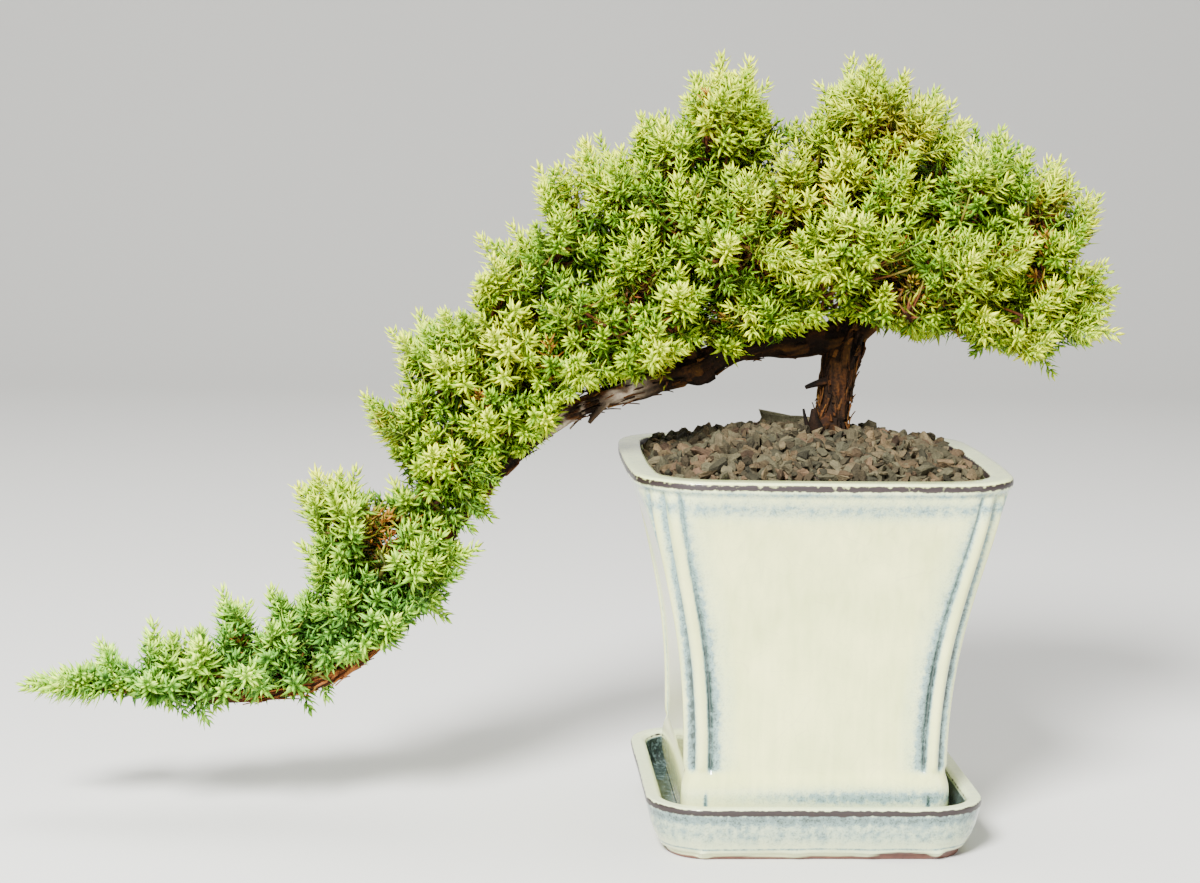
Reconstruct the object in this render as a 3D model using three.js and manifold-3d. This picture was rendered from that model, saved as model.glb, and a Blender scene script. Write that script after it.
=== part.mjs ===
// A cascading juniper bonsai in a square glazed pot that stands in its matching saucer.
//
// Millimetres, +Z up. The origin is the middle of the saucer's flat underside. The crown
// reaches to +X, the long low branch falls away to -X, and -Y is the front.

import * as THREE from 'three';
import { mergeVertices } from 'three/addons/utils/BufferGeometryUtils.js';
import Module from 'manifold-3d';

const wasm = await Module();
wasm.setup();

// ---------------------------------------------------------------- Driving dimensions

const GAP = 0.3;                 // clearance between pieces that rest against each other

const SAUCER_FLOOR = 9.5;        // height of the floor that the pot stands on
const SAUCER_CORNER = 24;        // corner radius of the rim
const SAUCER_OUTSIDE = [         // height, half width: from the foot up to the rim's edge
  [0, 59.5], [2.8, 60.5], [3.4, 62.2], [6, 64], [10, 66], [16, 67.6], [21, 68.7], [23.1, 68.1],
];
const SAUCER_INSIDE = [          // height, half width: from the rim's edge down to the floor
  [23.1, 63.2], [21.5, 62.1], [13, 60.6], [SAUCER_FLOOR, 57.5],
];

const POT_BASE = SAUCER_FLOOR + GAP;
const POT_RIM = 155.6;           // height of the rim's flat top
const POT_RIM_HALF = 76.2;       // half of the 152.4 mm (6 inch) square rim
const POT_RIM_CORNER = 30;
const POT_RIM_BAND = 5.2;        // height of the upright band round the rim
const POT_WAIST = 52.8;          // half width of the slim lower body
const POT_BAND = 33;             // height where the rounded base band meets the panels
const POT_BODY_CORNER = 7;
const POT_FLOOR = 17;            // height of the floor inside
const DRAIN_RADIUS = 8;
const FLARE_POWER = 2.25;        // how late the walls turn outwards
const BASE_BAND = [              // height, half width of the band that rounds under
  [POT_BASE, 50], [13, 52.7], [24, 54.6], [POT_BAND, 53.2],
];
const PANEL_LEVELS = [0.035, 0.27, 0.5, 0.7, 0.87];  // parts of the way up the panels
const HOLLOW = [                 // height, half width, corner radius of the planted hollow
  [POT_FLOOR, 45.5, 6], [60, 47.5, 7], [105, 53.5, 8], [135, 61, 14], [150, 65.8, 21],
  [POT_RIM + 25, 66.6, 21.7],
];

// Each upright corner has two rounded beads between three grooves: distance along the
// outline from the corner's diagonal, and height of the surface above the plain panel.
const CORNER_PROFILE = [[0, -1.5], [2, 0.2], [4.3, 0.9], [6.6, 0.4], [8, -1.3]];
const CORNER_END = 10;

const MOUND_EDGE = 153.2;        // gravel height along the pot's inner wall
const MOUND_RISE = 12.6;         // how much higher the gravel lies at the middle
const MOUND_REACH = 68;
const GRAVEL_DEPTH = 6;
const STONE_PITCH = 11.5;        // spacing of the stones, larger than life
const STONE_HEIGHT = 2.8;
const STONE_JITTER = 3.4;        // how far edges and peaks stray from an even spacing

const MESH_HALF = 13;            // half width of the plastic mesh over the drain hole
const MESH_THICK = 0.9;
const MESH_HOLES = 3;            // openings along each side
const MESH_HOLE_SHARE = 0.6;     // how much of each pitch an opening takes

const SHOOT_LENGTH = 10;         // leafy end of a shoot
const ROSETTE_LENGTH = 6.5;      // leafy end of the shorter shoots on the sides and below
const SHOOT_RADIUS = 1.15;
const BROAD_SPRAY = 18;          // half width from which a spray's core has more facets
const NEEDLE_LENGTH = 6.5;
const CROWN_SPACING = 18.2;      // least distance between tips on the crown
const BRANCH_SPACING = 13.8;     // and on the low branch, whose sprays are small
const CROWN_BOTTOM = 200;        // height above which a spray belongs to the crown
const SPUR_LENGTH = 5.5;
const SHOOT_STEM = 1.5;          // bare stem between a spray's core and the leafy end
const CORE_LEAST = 2;            // smallest radius of a spray's twiggy core
const TWIG_RADIUS = 1.2;         // the twig that ties a core to the wood
const NEIGHBOURHOOD = 36;        // how far round a shoot its clearances are looked at
const HIDDEN = 0.96;             // a tip this far out inside a neighbouring spray isn't seen
const WOOD_SWELL = 1.12;         // the most that bark swells beyond a limb's given radius

// The wood, as points x, y, z and radius along each limb. A limb that leaves another one
// starts inside it. The thicker a limb, the more sides it has.
const TRUNK_SIDES = 8;
const LOW_BRANCH_SIDES = 7;
const SIDE_LIMB_SIDES = 4;
const STUB_SIDES = 5;
const TRUNK = [
  [9, 4, 139, 8.6], [9.6, 5, 156, 8.6], [10, 5, 167, 7.8], [11.3, 5.5, 178, 6.9],
  [12.6, 6, 190, 7.2], [15, 6.5, 201, 8], [18.5, 7, 213, 6.6], [21, 6, 228, 5], [20, 5, 246, 3.8],
  [25, 5, 262, 2.9], [27, 4, 278, 2],
];
const LOW_BRANCH = [
  [19, 7, 205.5, 5.2], [4, 4, 204.4, 6], [-8, 2, 202.6, 5.7], [-19, 1, 201.8, 5],
  [-32, 0, 199.4, 4.8], [-46, -1, 193.4, 5.6], [-58, -1, 189, 4.6], [-71, 0, 184.2, 4.7],
  [-88, 0, 178.6, 4.2], [-104, 0, 171, 4.2], [-117, 0, 161, 3.8], [-129, 1, 149, 3.7],
  [-140, 2, 136, 3.5], [-149, 1, 122, 3.3], [-157, 0, 107, 3.2], [-167, -1, 89, 3.1],
  [-179, -1, 75.5, 3], [-193, 0, 64.5, 2.9], [-209, 0, 57, 2.7], [-229, 0, 53, 2.4],
  [-250, 0, 52, 2.1], [-272, 0, 54, 1.6], [-294, 0, 56, 1.2],
];
const SIDE_LIMBS = [
  [[20, 7, 208, 5.4], [34, 5, 218, 4.4], [52, 3, 226, 3.8], [72, 1, 232, 3], [90, 0, 237, 2]],
  [[46, 3.5, 222, 2.8], [60, -2, 216, 2.2], [74, -4, 212, 1.6]],
  [[52, 3, 226, 2.8], [60, 4, 242, 2.3], [66, 4, 257, 1.6]],
  [[40, 4, 220, 2.8], [46, -12, 228, 2.2], [48, -26, 236, 1.5]],
  [[38, 5, 219, 2.8], [44, 18, 228, 2.2], [48, 29, 236, 1.5]],
  [[22, 6, 226, 3.6], [6, 5, 240, 3.1], [-10, 4, 254, 2.6], [-25, 3, 266, 2.1], [-35, 2, 279, 1.5]],
  [[21, 6, 234, 2.8], [16, -10, 240, 2.2], [10, -26, 246, 1.5]],
  [[21, 6, 236, 2.8], [16, 18, 242, 2.2], [10, 30, 248, 1.5]],
  [[-14, 1, 201, 3.2], [-20, -8, 216, 2.6], [-30, -18, 234, 2], [-36, -27, 246, 1.4]],
  [[-12, 1, 201, 3.2], [-20, 12, 216, 2.6], [-30, 20, 234, 2], [-36, 28, 246, 1.4]],
  [[-46, -1, 193, 3.6], [-54, 0, 210, 3], [-64, 0, 230, 2.4], [-74, 1, 252, 1.6]],
  [[-88, 0, 178, 3.2], [-96, 0, 196, 2.6], [-102, 0, 214, 2.2], [-107, 0, 232, 1.5]],
  [[-104, 0, 171, 3], [-118, 0, 184, 2.4], [-128, 0, 198, 1.9], [-133, 0, 209, 1.4]],
  [[-117, 0, 161, 2.8], [-136, 0, 172, 2.2], [-149, 0, 184, 1.6]],
  [[-140, 2, 136, 2.6], [-156, 0, 146, 2], [-168, 0, 152, 1.5]],
  [[-149, 1, 122, 2.4], [-166, 0, 124, 2], [-182, 0, 130, 1.4]],
  [[-160, 0, 102, 2.2], [-174, 0, 104, 1.8], [-187, 0, 106, 1.3]],
  [[-193, 0, 65, 2], [-200, 0, 73, 1.6], [-206, 0, 80, 1.2]],
  [[-229, 0, 53.5, 1.8], [-232, 0, 64, 1.4]],
];
const STUBS = [                  // a torn stub and bark flaps where old branches were cut off
  [[11, 4, 187.5, 2.6], [3.5, 1, 186.3, 1.7], [-1.8, -1, 184.8, 0.9]],
  [[-86, -1, 178, 3], [-90, -4, 172.5, 1.6], [-92, -5, 169.5, 0.9]],
  [[9, 3, 170, 4.5], [2, 0, 166, 3], [-2.5, -2, 164.2, 1.8]],
];

// The tufts of foliage as they follow one another from the crown's right end to the tip of
// the low branch: x, z, half width, half height, then how far its sprays stand to the
// front and to the back of the branch, and their half depth. A tuft with no such
// offset is a single spray.
const TUFTS = {
  crown_right_end: [105, 227, 21, 22, 0, 25],
  crown_right_shoulder: [98, 252, 21, 22, 0, 26],
  crown_right_top: [66, 268, 23, 24, 17, 19],
  crown_right_low: [74, 212, 25, 16, 20, 19],
  crown_right: [52, 240, 23, 22, 35, 18],
  crown_low_middle: [34, 218, 18, 14, 24, 16],
  crown_peak: [27, 292, 24, 26, 16, 19],
  crown_saddle: [-7, 272, 20, 21, 0, 32],
  crown_middle: [8, 249, 24, 23, 37, 19],
  crown_second_peak: [-41, 290, 23, 26, 15, 18],
  crown_low_left: [-12, 219, 20, 15, 22, 18],
  crown_left: [-38, 249, 24, 25, 36, 19],
  crown_left_shoulder: [-76, 267, 22, 21, 15, 18],
  crown_left_side: [-68, 215, 23, 27, 28, 18],
  bend_top: [-107, 247, 21, 22, 0, 28],
  bend_side: [-102, 210, 20, 23, 22, 16],
  bend_outside: [-133, 221, 19, 20, 12, 15],
  bend_inside: [-112, 181, 16, 13, 15, 13],
  fall_top: [-156, 195, 18, 17, 0, 20],
  fall_side: [-134, 190, 17, 16, 17, 14],
  fall_outside: [-168, 168, 18, 18, 11, 14],
  fall_inside: [-137, 160, 16, 15, 16, 13],
  fall_tuft: [-193, 135, 20, 15, 0, 18],
  fall_middle: [-162, 138, 18, 17, 13, 13],
  fall_knee: [-194, 108, 17, 17, 0, 18],
  fall_low: [-162, 107, 18, 17, 14, 13],
  foot_inside: [-183, 86, 19, 16, 12, 13],
  foot_tuft: [-208, 78, 16, 19, 0, 18],
  tail_tuft: [-233, 79, 16, 18, 0, 17],
  tail_side: [-218, 61, 19, 11, 11, 12],
  tail_low: [-252, 62, 18, 15, 0, 15],
  tail_end: [-279, 62, 19, 14, 0, 12],
  tail_tip: [-307, 59, 17, 9, 0, 9],
};

// ---------------------------------------------------------------- Finishes

const FINISHES = {
  potGlaze: { color: 0xe3e6d5, roughness: 0.16, metalness: 0 },
  saucerGlaze: { color: 0xc7d1cc, roughness: 0.2, metalness: 0 },
  plasticMesh: { color: 0x2f3a33, roughness: 0.6, metalness: 0 },
  soil: { color: 0x4a3c30, roughness: 0.97, metalness: 0 },
  gravel: { color: 0x93887a, roughness: 0.92, metalness: 0 },
  bark: { color: 0x6a4a35, roughness: 0.88, metalness: 0 },
  paleNeedles: { color: 0xb2c566, roughness: 0.55, metalness: 0 },
  greenNeedles: { color: 0x86a957, roughness: 0.55, metalness: 0 },
  blueNeedles: { color: 0x82a877, roughness: 0.55, metalness: 0 },
};

// ---------------------------------------------------------------- Solids

const UP = new THREE.Vector3(0, 0, 1);

function vector([x, y, z]) {
  return new THREE.Vector3(x, y, z);
}

function solidFrom(points, triangles) {
  return new wasm.Manifold(new wasm.Mesh({
    numProp: 3,
    vertProperties: new Float32Array(points.flatMap((p) => [p.x, p.y, p.z])),
    triVerts: new Uint32Array(triangles.flat()),
  }));
}

function solidOf(geometry) {
  const bare = new THREE.BufferGeometry();
  bare.setAttribute('position', geometry.getAttribute('position'));
  bare.setIndex(geometry.getIndex());
  const merged = mergeVertices(bare, 1e-4);
  return new wasm.Manifold(new wasm.Mesh({
    numProp: 3,
    vertProperties: new Float32Array(merged.getAttribute('position').array),
    triVerts: new Uint32Array(merged.getIndex().array),
  }));
}

function meshOf(name, solid, finish) {
  const result = solid.getMesh();
  const geometry = new THREE.BufferGeometry();
  geometry.setAttribute('position', new THREE.BufferAttribute(result.vertProperties, 3));
  geometry.setIndex(new THREE.BufferAttribute(result.triVerts, 1));
  geometry.computeVertexNormals();
  const mesh = new THREE.Mesh(geometry, new THREE.MeshStandardMaterial(finish));
  mesh.name = name;
  return mesh;
}

// A solid skinned over rings of equally many points, which run anticlockwise as seen from
// the far end, with both end rings filled.
function loft(rings) {
  const count = rings[0].length;
  const top = (rings.length - 1) * count;
  const triangles = [];
  for (let i = 0; i < rings.length - 1; i += 1) {
    for (let j = 0; j < count; j += 1) {
      const a = i * count + j;
      const b = i * count + ((j + 1) % count);
      triangles.push([a, b, b + count], [a, b + count, a + count]);
    }
  }
  for (let j = 1; j < count - 1; j += 1) {
    triangles.push([0, j + 1, j], [top, top + j, top + j + 1]);
  }
  return solidFrom(rings.flat(), triangles);
}

// A seeded stream of numbers from 0 to 1, the same on every run.
function randomStream(seed) {
  const multiplier = 1664525;
  const increment = 1013904223;
  const range = 2 ** 32;
  let state = seed;
  return () => {
    state = (state * multiplier + increment) % range;
    return state / range;
  };
}

// ---------------------------------------------------------------- Rounded squares

// One ring of a square with round corners. Along each corner the outline is read at the
// given distances from the diagonal and moved out by the height given with each.
function squareRing(height, halfWidth, corner, profile, relief = 0, bow = 0) {
  const halfArc = (corner * Math.PI) / 4;
  const end = Math.max(CORNER_END, halfArc);
  const oneSide = [...profile, [end, 0]];
  const mirrored = oneSide.filter(([distance]) => distance > 0).map(([s, h]) => [-s, h]);
  const stations = [...mirrored.reverse(), ...oneSide];
  const points = [];
  for (let side = 0; side < 4; side += 1) {
    const turn = (side * Math.PI) / 2;
    for (const [distance, lift] of stations) {
      const onArc = THREE.MathUtils.clamp(distance, -halfArc, halfArc);
      const angle = Math.PI / 4 + onArc / corner;
      const reach = corner + lift * relief;
      const past = distance - onArc;
      const x = halfWidth - corner + reach * Math.cos(angle) - past * Math.sin(angle);
      const y = halfWidth - corner + reach * Math.sin(angle) + past * Math.cos(angle);
      points.push(new THREE.Vector3(x, y, height).applyAxisAngle(UP, turn));
    }
    points.push(new THREE.Vector3(0, halfWidth + bow, height).applyAxisAngle(UP, turn));
  }
  return points;
}

// Plain corners need only a few points, spaced evenly round the arc.
function plainRing(height, halfWidth, corner, bow = 0) {
  const step = Math.max(CORNER_END, (corner * Math.PI) / 4) / 2;
  return squareRing(height, halfWidth, corner, [[0, 0], [step, 0]], 0, bow);
}

// ---------------------------------------------------------------- Saucer and pot

function saucer() {
  const cornerAt = (halfWidth) => SAUCER_CORNER - (SAUCER_OUTSIDE[6][1] - halfWidth);
  const ring = ([height, halfWidth]) => plainRing(height, halfWidth, cornerAt(halfWidth));
  return loft([...SAUCER_OUTSIDE, ...SAUCER_INSIDE].map(ring));
}

// Half width of the panels: slim and nearly upright low down, flaring late towards the rim.
function panelHalf(part) {
  const rimUnderside = POT_RIM_HALF - 1.2;
  return POT_WAIST + (rimUnderside - POT_WAIST) * part ** FLARE_POWER;
}

function potOutside() {
  const bandTop = POT_RIM - POT_RIM_BAND;
  const ringAt = (height, half, corner, relief, bow) => (
    squareRing(height, half, corner, CORNER_PROFILE, relief, bow));
  const band = BASE_BAND.map(([height, half]) => ringAt(height, half, POT_BODY_CORNER, 0, 0));
  const panels = PANEL_LEVELS.map((part) => {
    const height = POT_BAND + (bandTop - POT_BAND) * part;
    const corner = POT_BODY_CORNER + (POT_RIM_CORNER - POT_BODY_CORNER) * part ** 6;
    return ringAt(height, panelHalf(part), corner, 1, 1.2 * part ** 4);
  });
  const rim = [[bandTop, 1, 0.25], [bandTop + 1, 0, 0], [POT_RIM, 0.7, 0]].map(
    ([height, inset, relief]) => (
      ringAt(height, POT_RIM_HALF - inset, POT_RIM_CORNER - inset, relief, 1.6)));
  return loft([...band, ...panels, ...rim]);
}

// The planted hollow, drawn in by a margin for what has to fit inside it.
function potHollow(margin) {
  return loft(HOLLOW.map(([height, half, corner], i) => (
    plainRing(i === 0 ? height + margin : height, half - margin, corner - margin))));
}

function pot() {
  const drainSides = 20;
  const drain = new THREE.CylinderGeometry(DRAIN_RADIUS, DRAIN_RADIUS, 2 * POT_FLOOR, drainSides);
  drain.rotateX(Math.PI / 2).translate(0, 0, POT_BASE);
  return potOutside().subtract(potHollow(0)).subtract(solidOf(drain));
}

function boxSolid(width, depth, height, x, y, bottom) {
  const box = new THREE.BoxGeometry(width, depth, height);
  return solidOf(box.translate(x, y, bottom + height / 2));
}

function drainMesh() {
  const pitch = (2 * MESH_HALF) / MESH_HOLES;
  const bottom = POT_FLOOR + GAP;
  const hole = MESH_HOLE_SHARE * pitch;
  let sheet = boxSolid(2 * MESH_HALF, 2 * MESH_HALF, MESH_THICK, 0, 0, bottom);
  for (let i = 0; i < MESH_HOLES; i += 1) {
    for (let j = 0; j < MESH_HOLES; j += 1) {
      const x = (i + 0.5) * pitch - MESH_HALF;
      const y = (j + 0.5) * pitch - MESH_HALF;
      sheet = sheet.subtract(boxSolid(hole, hole, 3 * MESH_THICK, x, y, bottom - MESH_THICK));
    }
  }
  return sheet;
}

// ---------------------------------------------------------------- Soil and gravel

function moundHeight(x, y) {
  const across = 1 - (x / MOUND_REACH) ** 2;
  const along = 1 - (y / MOUND_REACH) ** 2;
  return MOUND_EDGE + MOUND_RISE * Math.max(across, 0) * Math.max(along, 0);
}

// A block with a flat bottom under a surface of triangles, each given as three indices
// that run anticlockwise as seen from above.
function blockUnder(points, faces, bottom) {
  const count = points.length;
  const floor = points.map((p) => new THREE.Vector3(p.x, p.y, bottom));
  const edges = new Set(faces.flatMap(([a, b, c]) => [`${a},${b}`, `${b},${c}`, `${c},${a}`]));
  const triangles = [...faces, ...faces.map(([a, b, c]) => [a + count, c + count, b + count])];
  for (const edge of edges) {
    const [a, b] = edge.split(',').map(Number);
    if (!edges.has(`${b},${a}`)) {
      triangles.push([a, a + count, b + count], [a, b + count, b]);
    }
  }
  return solidFrom([...points, ...floor], triangles);
}

// The soil's surface: the gravel's mound, one gravel depth lower, on a square grid.
function soilBlock(lift) {
  const cells = 4;
  const points = [];
  const faces = [];
  for (let i = 0; i <= cells; i += 1) {
    for (let j = 0; j <= cells; j += 1) {
      const x = ((2 * i) / cells - 1) * MOUND_REACH;
      const y = ((2 * j) / cells - 1) * MOUND_REACH;
      points.push(new THREE.Vector3(x, y, moundHeight(x, y) - GRAVEL_DEPTH + lift));
      if (i < cells && j < cells) {
        const a = i * (cells + 1) + j;
        const b = a + cells + 1;
        faces.push([a, b, b + 1], [a, b + 1, a + 1]);
      }
    }
  }
  return blockUnder(points, faces, 0);
}

// Gravel as a relief: six-sided stones side by side with shared low edges, each rising to
// a peak somewhere off its middle.
function gravelBlock() {
  const random = randomStream(11);
  const reach = STONE_PITCH / Math.sqrt(3);
  const rows = Math.ceil(MOUND_REACH / (reach * 1.5));
  const columns = Math.ceil(MOUND_REACH / STONE_PITCH);
  const points = [];
  const faces = [];
  const lowEdges = new Map();
  const scatter = () => (random() - 0.5) * STONE_JITTER;
  const addPoint = (x, y, lift) => (
    points.push(new THREE.Vector3(x, y, moundHeight(x, y) + lift)) - 1);
  const lowPoint = (x, y) => {
    const key = `${Math.round((2 * x) / STONE_PITCH)},${Math.round((2 * y) / reach)}`;
    if (!lowEdges.has(key)) {
      lowEdges.set(key, addPoint(x + scatter(), y + scatter(), -random()));
    }
    return lowEdges.get(key);
  };
  for (let row = -rows; row <= rows; row += 1) {
    for (let column = -columns; column <= columns; column += 1) {
      const x = STONE_PITCH * (column + (row % 2) / 2);
      const y = reach * 1.5 * row;
      const lift = STONE_HEIGHT * (0.6 + 0.6 * random());
      const peak = addPoint(x + scatter(), y + scatter(), lift);
      const low = [0, 1, 2, 3, 4, 5].map((k) => {
        const angle = ((k + 0.5) * Math.PI) / 3;
        return lowPoint(x + reach * Math.cos(angle), y + reach * Math.sin(angle));
      });
      low.forEach((corner, k) => faces.push([corner, low[(k + 1) % low.length], peak]));
    }
  }
  return blockUnder(points, faces, 0);
}

// ---------------------------------------------------------------- Wood

// A tapering limb. Its radius swells and shrinks round and along it like old stringy
// bark over muscle wood; extra widens all of it, for a hole that it stands in.
function limb(points, sides, extra = 0) {
  const centres = points.map(vector);
  let across = new THREE.Vector3(0, 1, 0);
  const rings = centres.map((centre, i) => {
    const before = centres[Math.max(i - 1, 0)];
    const after = centres[Math.min(i + 1, centres.length - 1)];
    const along = after.clone().sub(before).normalize();
    across = across.clone().addScaledVector(along, -across.dot(along)).normalize();
    const third = along.clone().cross(across);
    const ring = [];
    for (let j = 0; j < sides; j += 1) {
      const angle = (2 * Math.PI * j) / sides;
      const swell = 1 + 0.07 * Math.sin(3 * angle + 1.9 * i) + 0.05 * Math.sin(2 * angle - 1.3 * i);
      const radius = points[i][3] * swell + extra;
      ring.push(centre.clone()
        .addScaledVector(across, radius * Math.cos(angle))
        .addScaledVector(third, radius * Math.sin(angle)));
    }
    return ring;
  });
  return loft(rings);
}

function wood() {
  let solid = limb(TRUNK, TRUNK_SIDES).add(limb(LOW_BRANCH, LOW_BRANCH_SIDES));
  SIDE_LIMBS.forEach((points) => {
    solid = solid.add(limb(points, SIDE_LIMB_SIDES));
  });
  STUBS.forEach((points) => {
    solid = solid.add(limb(points, STUB_SIDES));
  });
  return solid;
}

// ---------------------------------------------------------------- Foliage

// Clearances are kept with beads: balls threaded along every limb, twig, shoot and needle.
function beadsAlong(from, to, radiusFrom, radiusTo) {
  const steps = Math.ceil(from.distanceTo(to) / 1.2);
  const beads = [];
  for (let i = 0; i <= steps; i += 1) {
    const part = i / steps;
    const radius = THREE.MathUtils.lerp(radiusFrom, radiusTo, part);
    beads.push({ at: from.clone().lerp(to, part), radius });
  }
  return beads;
}

function clearOf(beads, others, spare) {
  return beads.every((bead) => others.every((other) => (
    bead.at.distanceTo(other.at) > bead.radius + other.radius + spare)));
}

function woodBeads() {
  const beads = [];
  for (const points of [TRUNK, LOW_BRANCH, ...SIDE_LIMBS, ...STUBS]) {
    for (let i = 0; i < points.length - 1; i += 1) {
      const [from, to] = [points[i], points[i + 1]];
      beads.push(...beadsAlong(vector(from), vector(to), from[3] * WOOD_SWELL, to[3] * WOOD_SWELL));
    }
  }
  return beads;
}

// The sprays of every tuft, each an ellipsoid that its shoots grow out to.
function sprays() {
  const list = [];
  for (const [tuft, values] of Object.entries(TUFTS)) {
    const [x, z, halfWidth, halfHeight, offset, halfDepth] = values;
    const size = new THREE.Vector3(halfWidth, halfDepth, halfHeight);
    if (offset === 0) {
      list.push({ name: tuft, centre: new THREE.Vector3(x, 0, z), size });
    } else {
      list.push({ name: `${tuft}_front`, centre: new THREE.Vector3(x, -offset, z), size });
      list.push({ name: `${tuft}_back`, centre: new THREE.Vector3(x, offset, z), size });
    }
  }
  return list;
}

// Whether a point lies inside some other spray than its own.
function isHidden(point, own, list) {
  return list.some((spray) => (
    spray !== own && point.clone().sub(spray.centre).divide(spray.size).length() < HIDDEN));
}

// The beads near a point that a spray has to keep clear of: the wood's, the other sprays'
// cores and shoots and, if asked for, the spray's own shoots.
function beadsRound(point, spray, list, limbBeads, ownToo) {
  const others = list.filter((other) => other !== spray);
  const beads = [...limbBeads, ...others.flatMap(({ shape }) => [...shape.coreBeads, ...shape.beads])];
  return [...beads, ...(ownToo ? spray.shape.beads : [])].filter((bead) => (
    bead.at.distanceTo(point) < NEIGHBOURHOOD));
}

// A spray under construction: its points, its faces and the beads that keep others clear.
class SprayShape {
  constructor(spray, woodSide) {
    const broad = spray.size.x > BROAD_SPRAY;
    const facets = broad ? new THREE.OctahedronGeometry(1, 1) : new THREE.IcosahedronGeometry(1, 0);
    const ball = mergeVertices(facets.deleteAttribute('normal').deleteAttribute('uv'));
    const corners = ball.getAttribute('position');
    const facing = new THREE.Quaternion();
    this.points = Array.from({ length: corners.count }, (_, i) => (
      new THREE.Vector3().fromBufferAttribute(corners, i)));
    this.faces = [];
    this.beads = [];
    this.open = [];
    const indices = ball.getIndex().array;
    for (let i = 0; i < indices.length; i += 3) {
      this.open.push([indices[i], indices[i + 1], indices[i + 2]]);
    }
    facing.setFromUnitVectors(this.middleOf(this.open[0]).normalize(), woodSide);
    this.points.forEach((point) => point.applyQuaternion(facing).multiply(spray.core));
    const radius = 0.4 * Math.min(spray.core.x, spray.core.y, spray.core.z);
    this.coreBeads = this.points.map((point) => (
      { at: point.clone().multiplyScalar(0.62).add(spray.centre), radius }));
    this.points.forEach((point) => point.add(spray.centre));
  }

  middleOf(face) {
    const sum = face.reduce((total, k) => total.add(this.points[k]), new THREE.Vector3());
    return sum.divideScalar(face.length);
  }

  // Adds a ring of three points round a centre, in line with the corners of a face or
  // turned by a sixth of a circle from them.
  ringLike(face, centre, along, radius, turn) {
    const middle = this.middleOf(face);
    return face.map((k) => {
      const out = this.points[k].clone().sub(middle);
      out.addScaledVector(along, -out.dot(along)).normalize().applyAxisAngle(along, turn);
      return this.points.push(out.multiplyScalar(radius).add(centre)) - 1;
    });
  }

  // Draws a face out to a ring, with two triangles along each side.
  drawOut(face, ring) {
    for (let j = 0; j < 3; j += 1) {
      const next = (j + 1) % 3;
      this.faces.push([face[j], face[next], ring[next]], [face[j], ring[next], ring[j]]);
    }
  }

  solid() {
    return solidFrom(this.points, [...this.faces, ...this.open]);
  }
}

// The spray's small twiggy core, with one facet drawn out to the nearest wood as its twig.
function startSpray(spray, limbBeads) {
  const toWood = (bead) => bead.at.distanceTo(spray.centre) - bead.radius;
  const nearest = limbBeads.reduce((best, bead) => (toWood(bead) < toWood(best) ? bead : best));
  const woodSide = nearest.at.clone().sub(spray.centre).normalize();
  const short = Math.max(CORE_LEAST + 4 * GAP - toWood(nearest), 0);
  spray.centre.addScaledVector(woodSide, -short);
  const room = toWood(nearest) - 3 * GAP;
  spray.core = spray.size.clone().subScalar(SHOOT_LENGTH + SHOOT_STEM);
  spray.core.clampScalar(CORE_LEAST, room);
  spray.shape = new SprayShape(spray, woodSide);
  const end = nearest.at.clone().addScaledVector(woodSide, -nearest.radius - 2 * GAP);
  const twigFace = spray.shape.open.shift();
  const ring = spray.shape.ringLike(twigFace, end, woodSide, TWIG_RADIUS, 0);
  spray.shape.drawOut(twigFace, ring);
  spray.shape.faces.push(ring);
  spray.shape.coreBeads.push(...beadsAlong(spray.centre, end, TWIG_RADIUS, TWIG_RADIUS));
}

function stemBeads(shape, root, base) {
  return beadsAlong(shape.middleOf(root), base, 2 * SHOOT_RADIUS, SHOOT_RADIUS);
}

function leafyBeads(base, tip) {
  return beadsAlong(base, tip, SHOOT_RADIUS, 0.4);
}

// Draws a facet out into a needle that leans forward along the shoot. A needle that would
// touch something is shorter, or is left off.
function addNeedle(shape, face, foot, along, lean, random, free) {
  const middle = shape.middleOf(face);
  const out = middle.clone().sub(foot);
  out.addScaledVector(along, -out.dot(along)).normalize();
  const direction = out.multiplyScalar(Math.sin(lean)).addScaledVector(along, Math.cos(lean));
  const length = NEEDLE_LENGTH * (0.85 + 0.3 * random());
  for (const part of [1, 0.65]) {
    const end = middle.clone().addScaledVector(direction, length * part);
    const beads = beadsAlong(middle, end, 0.7, 0.25);
    if (free(beads)) {
      const apex = shape.points.push(end) - 1;
      shape.faces.push([face[0], face[1], apex], [face[1], face[2], apex], [face[2], face[0], apex]);
      return beads;
    }
  }
  shape.faces.push(face);
  return [];
}

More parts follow.
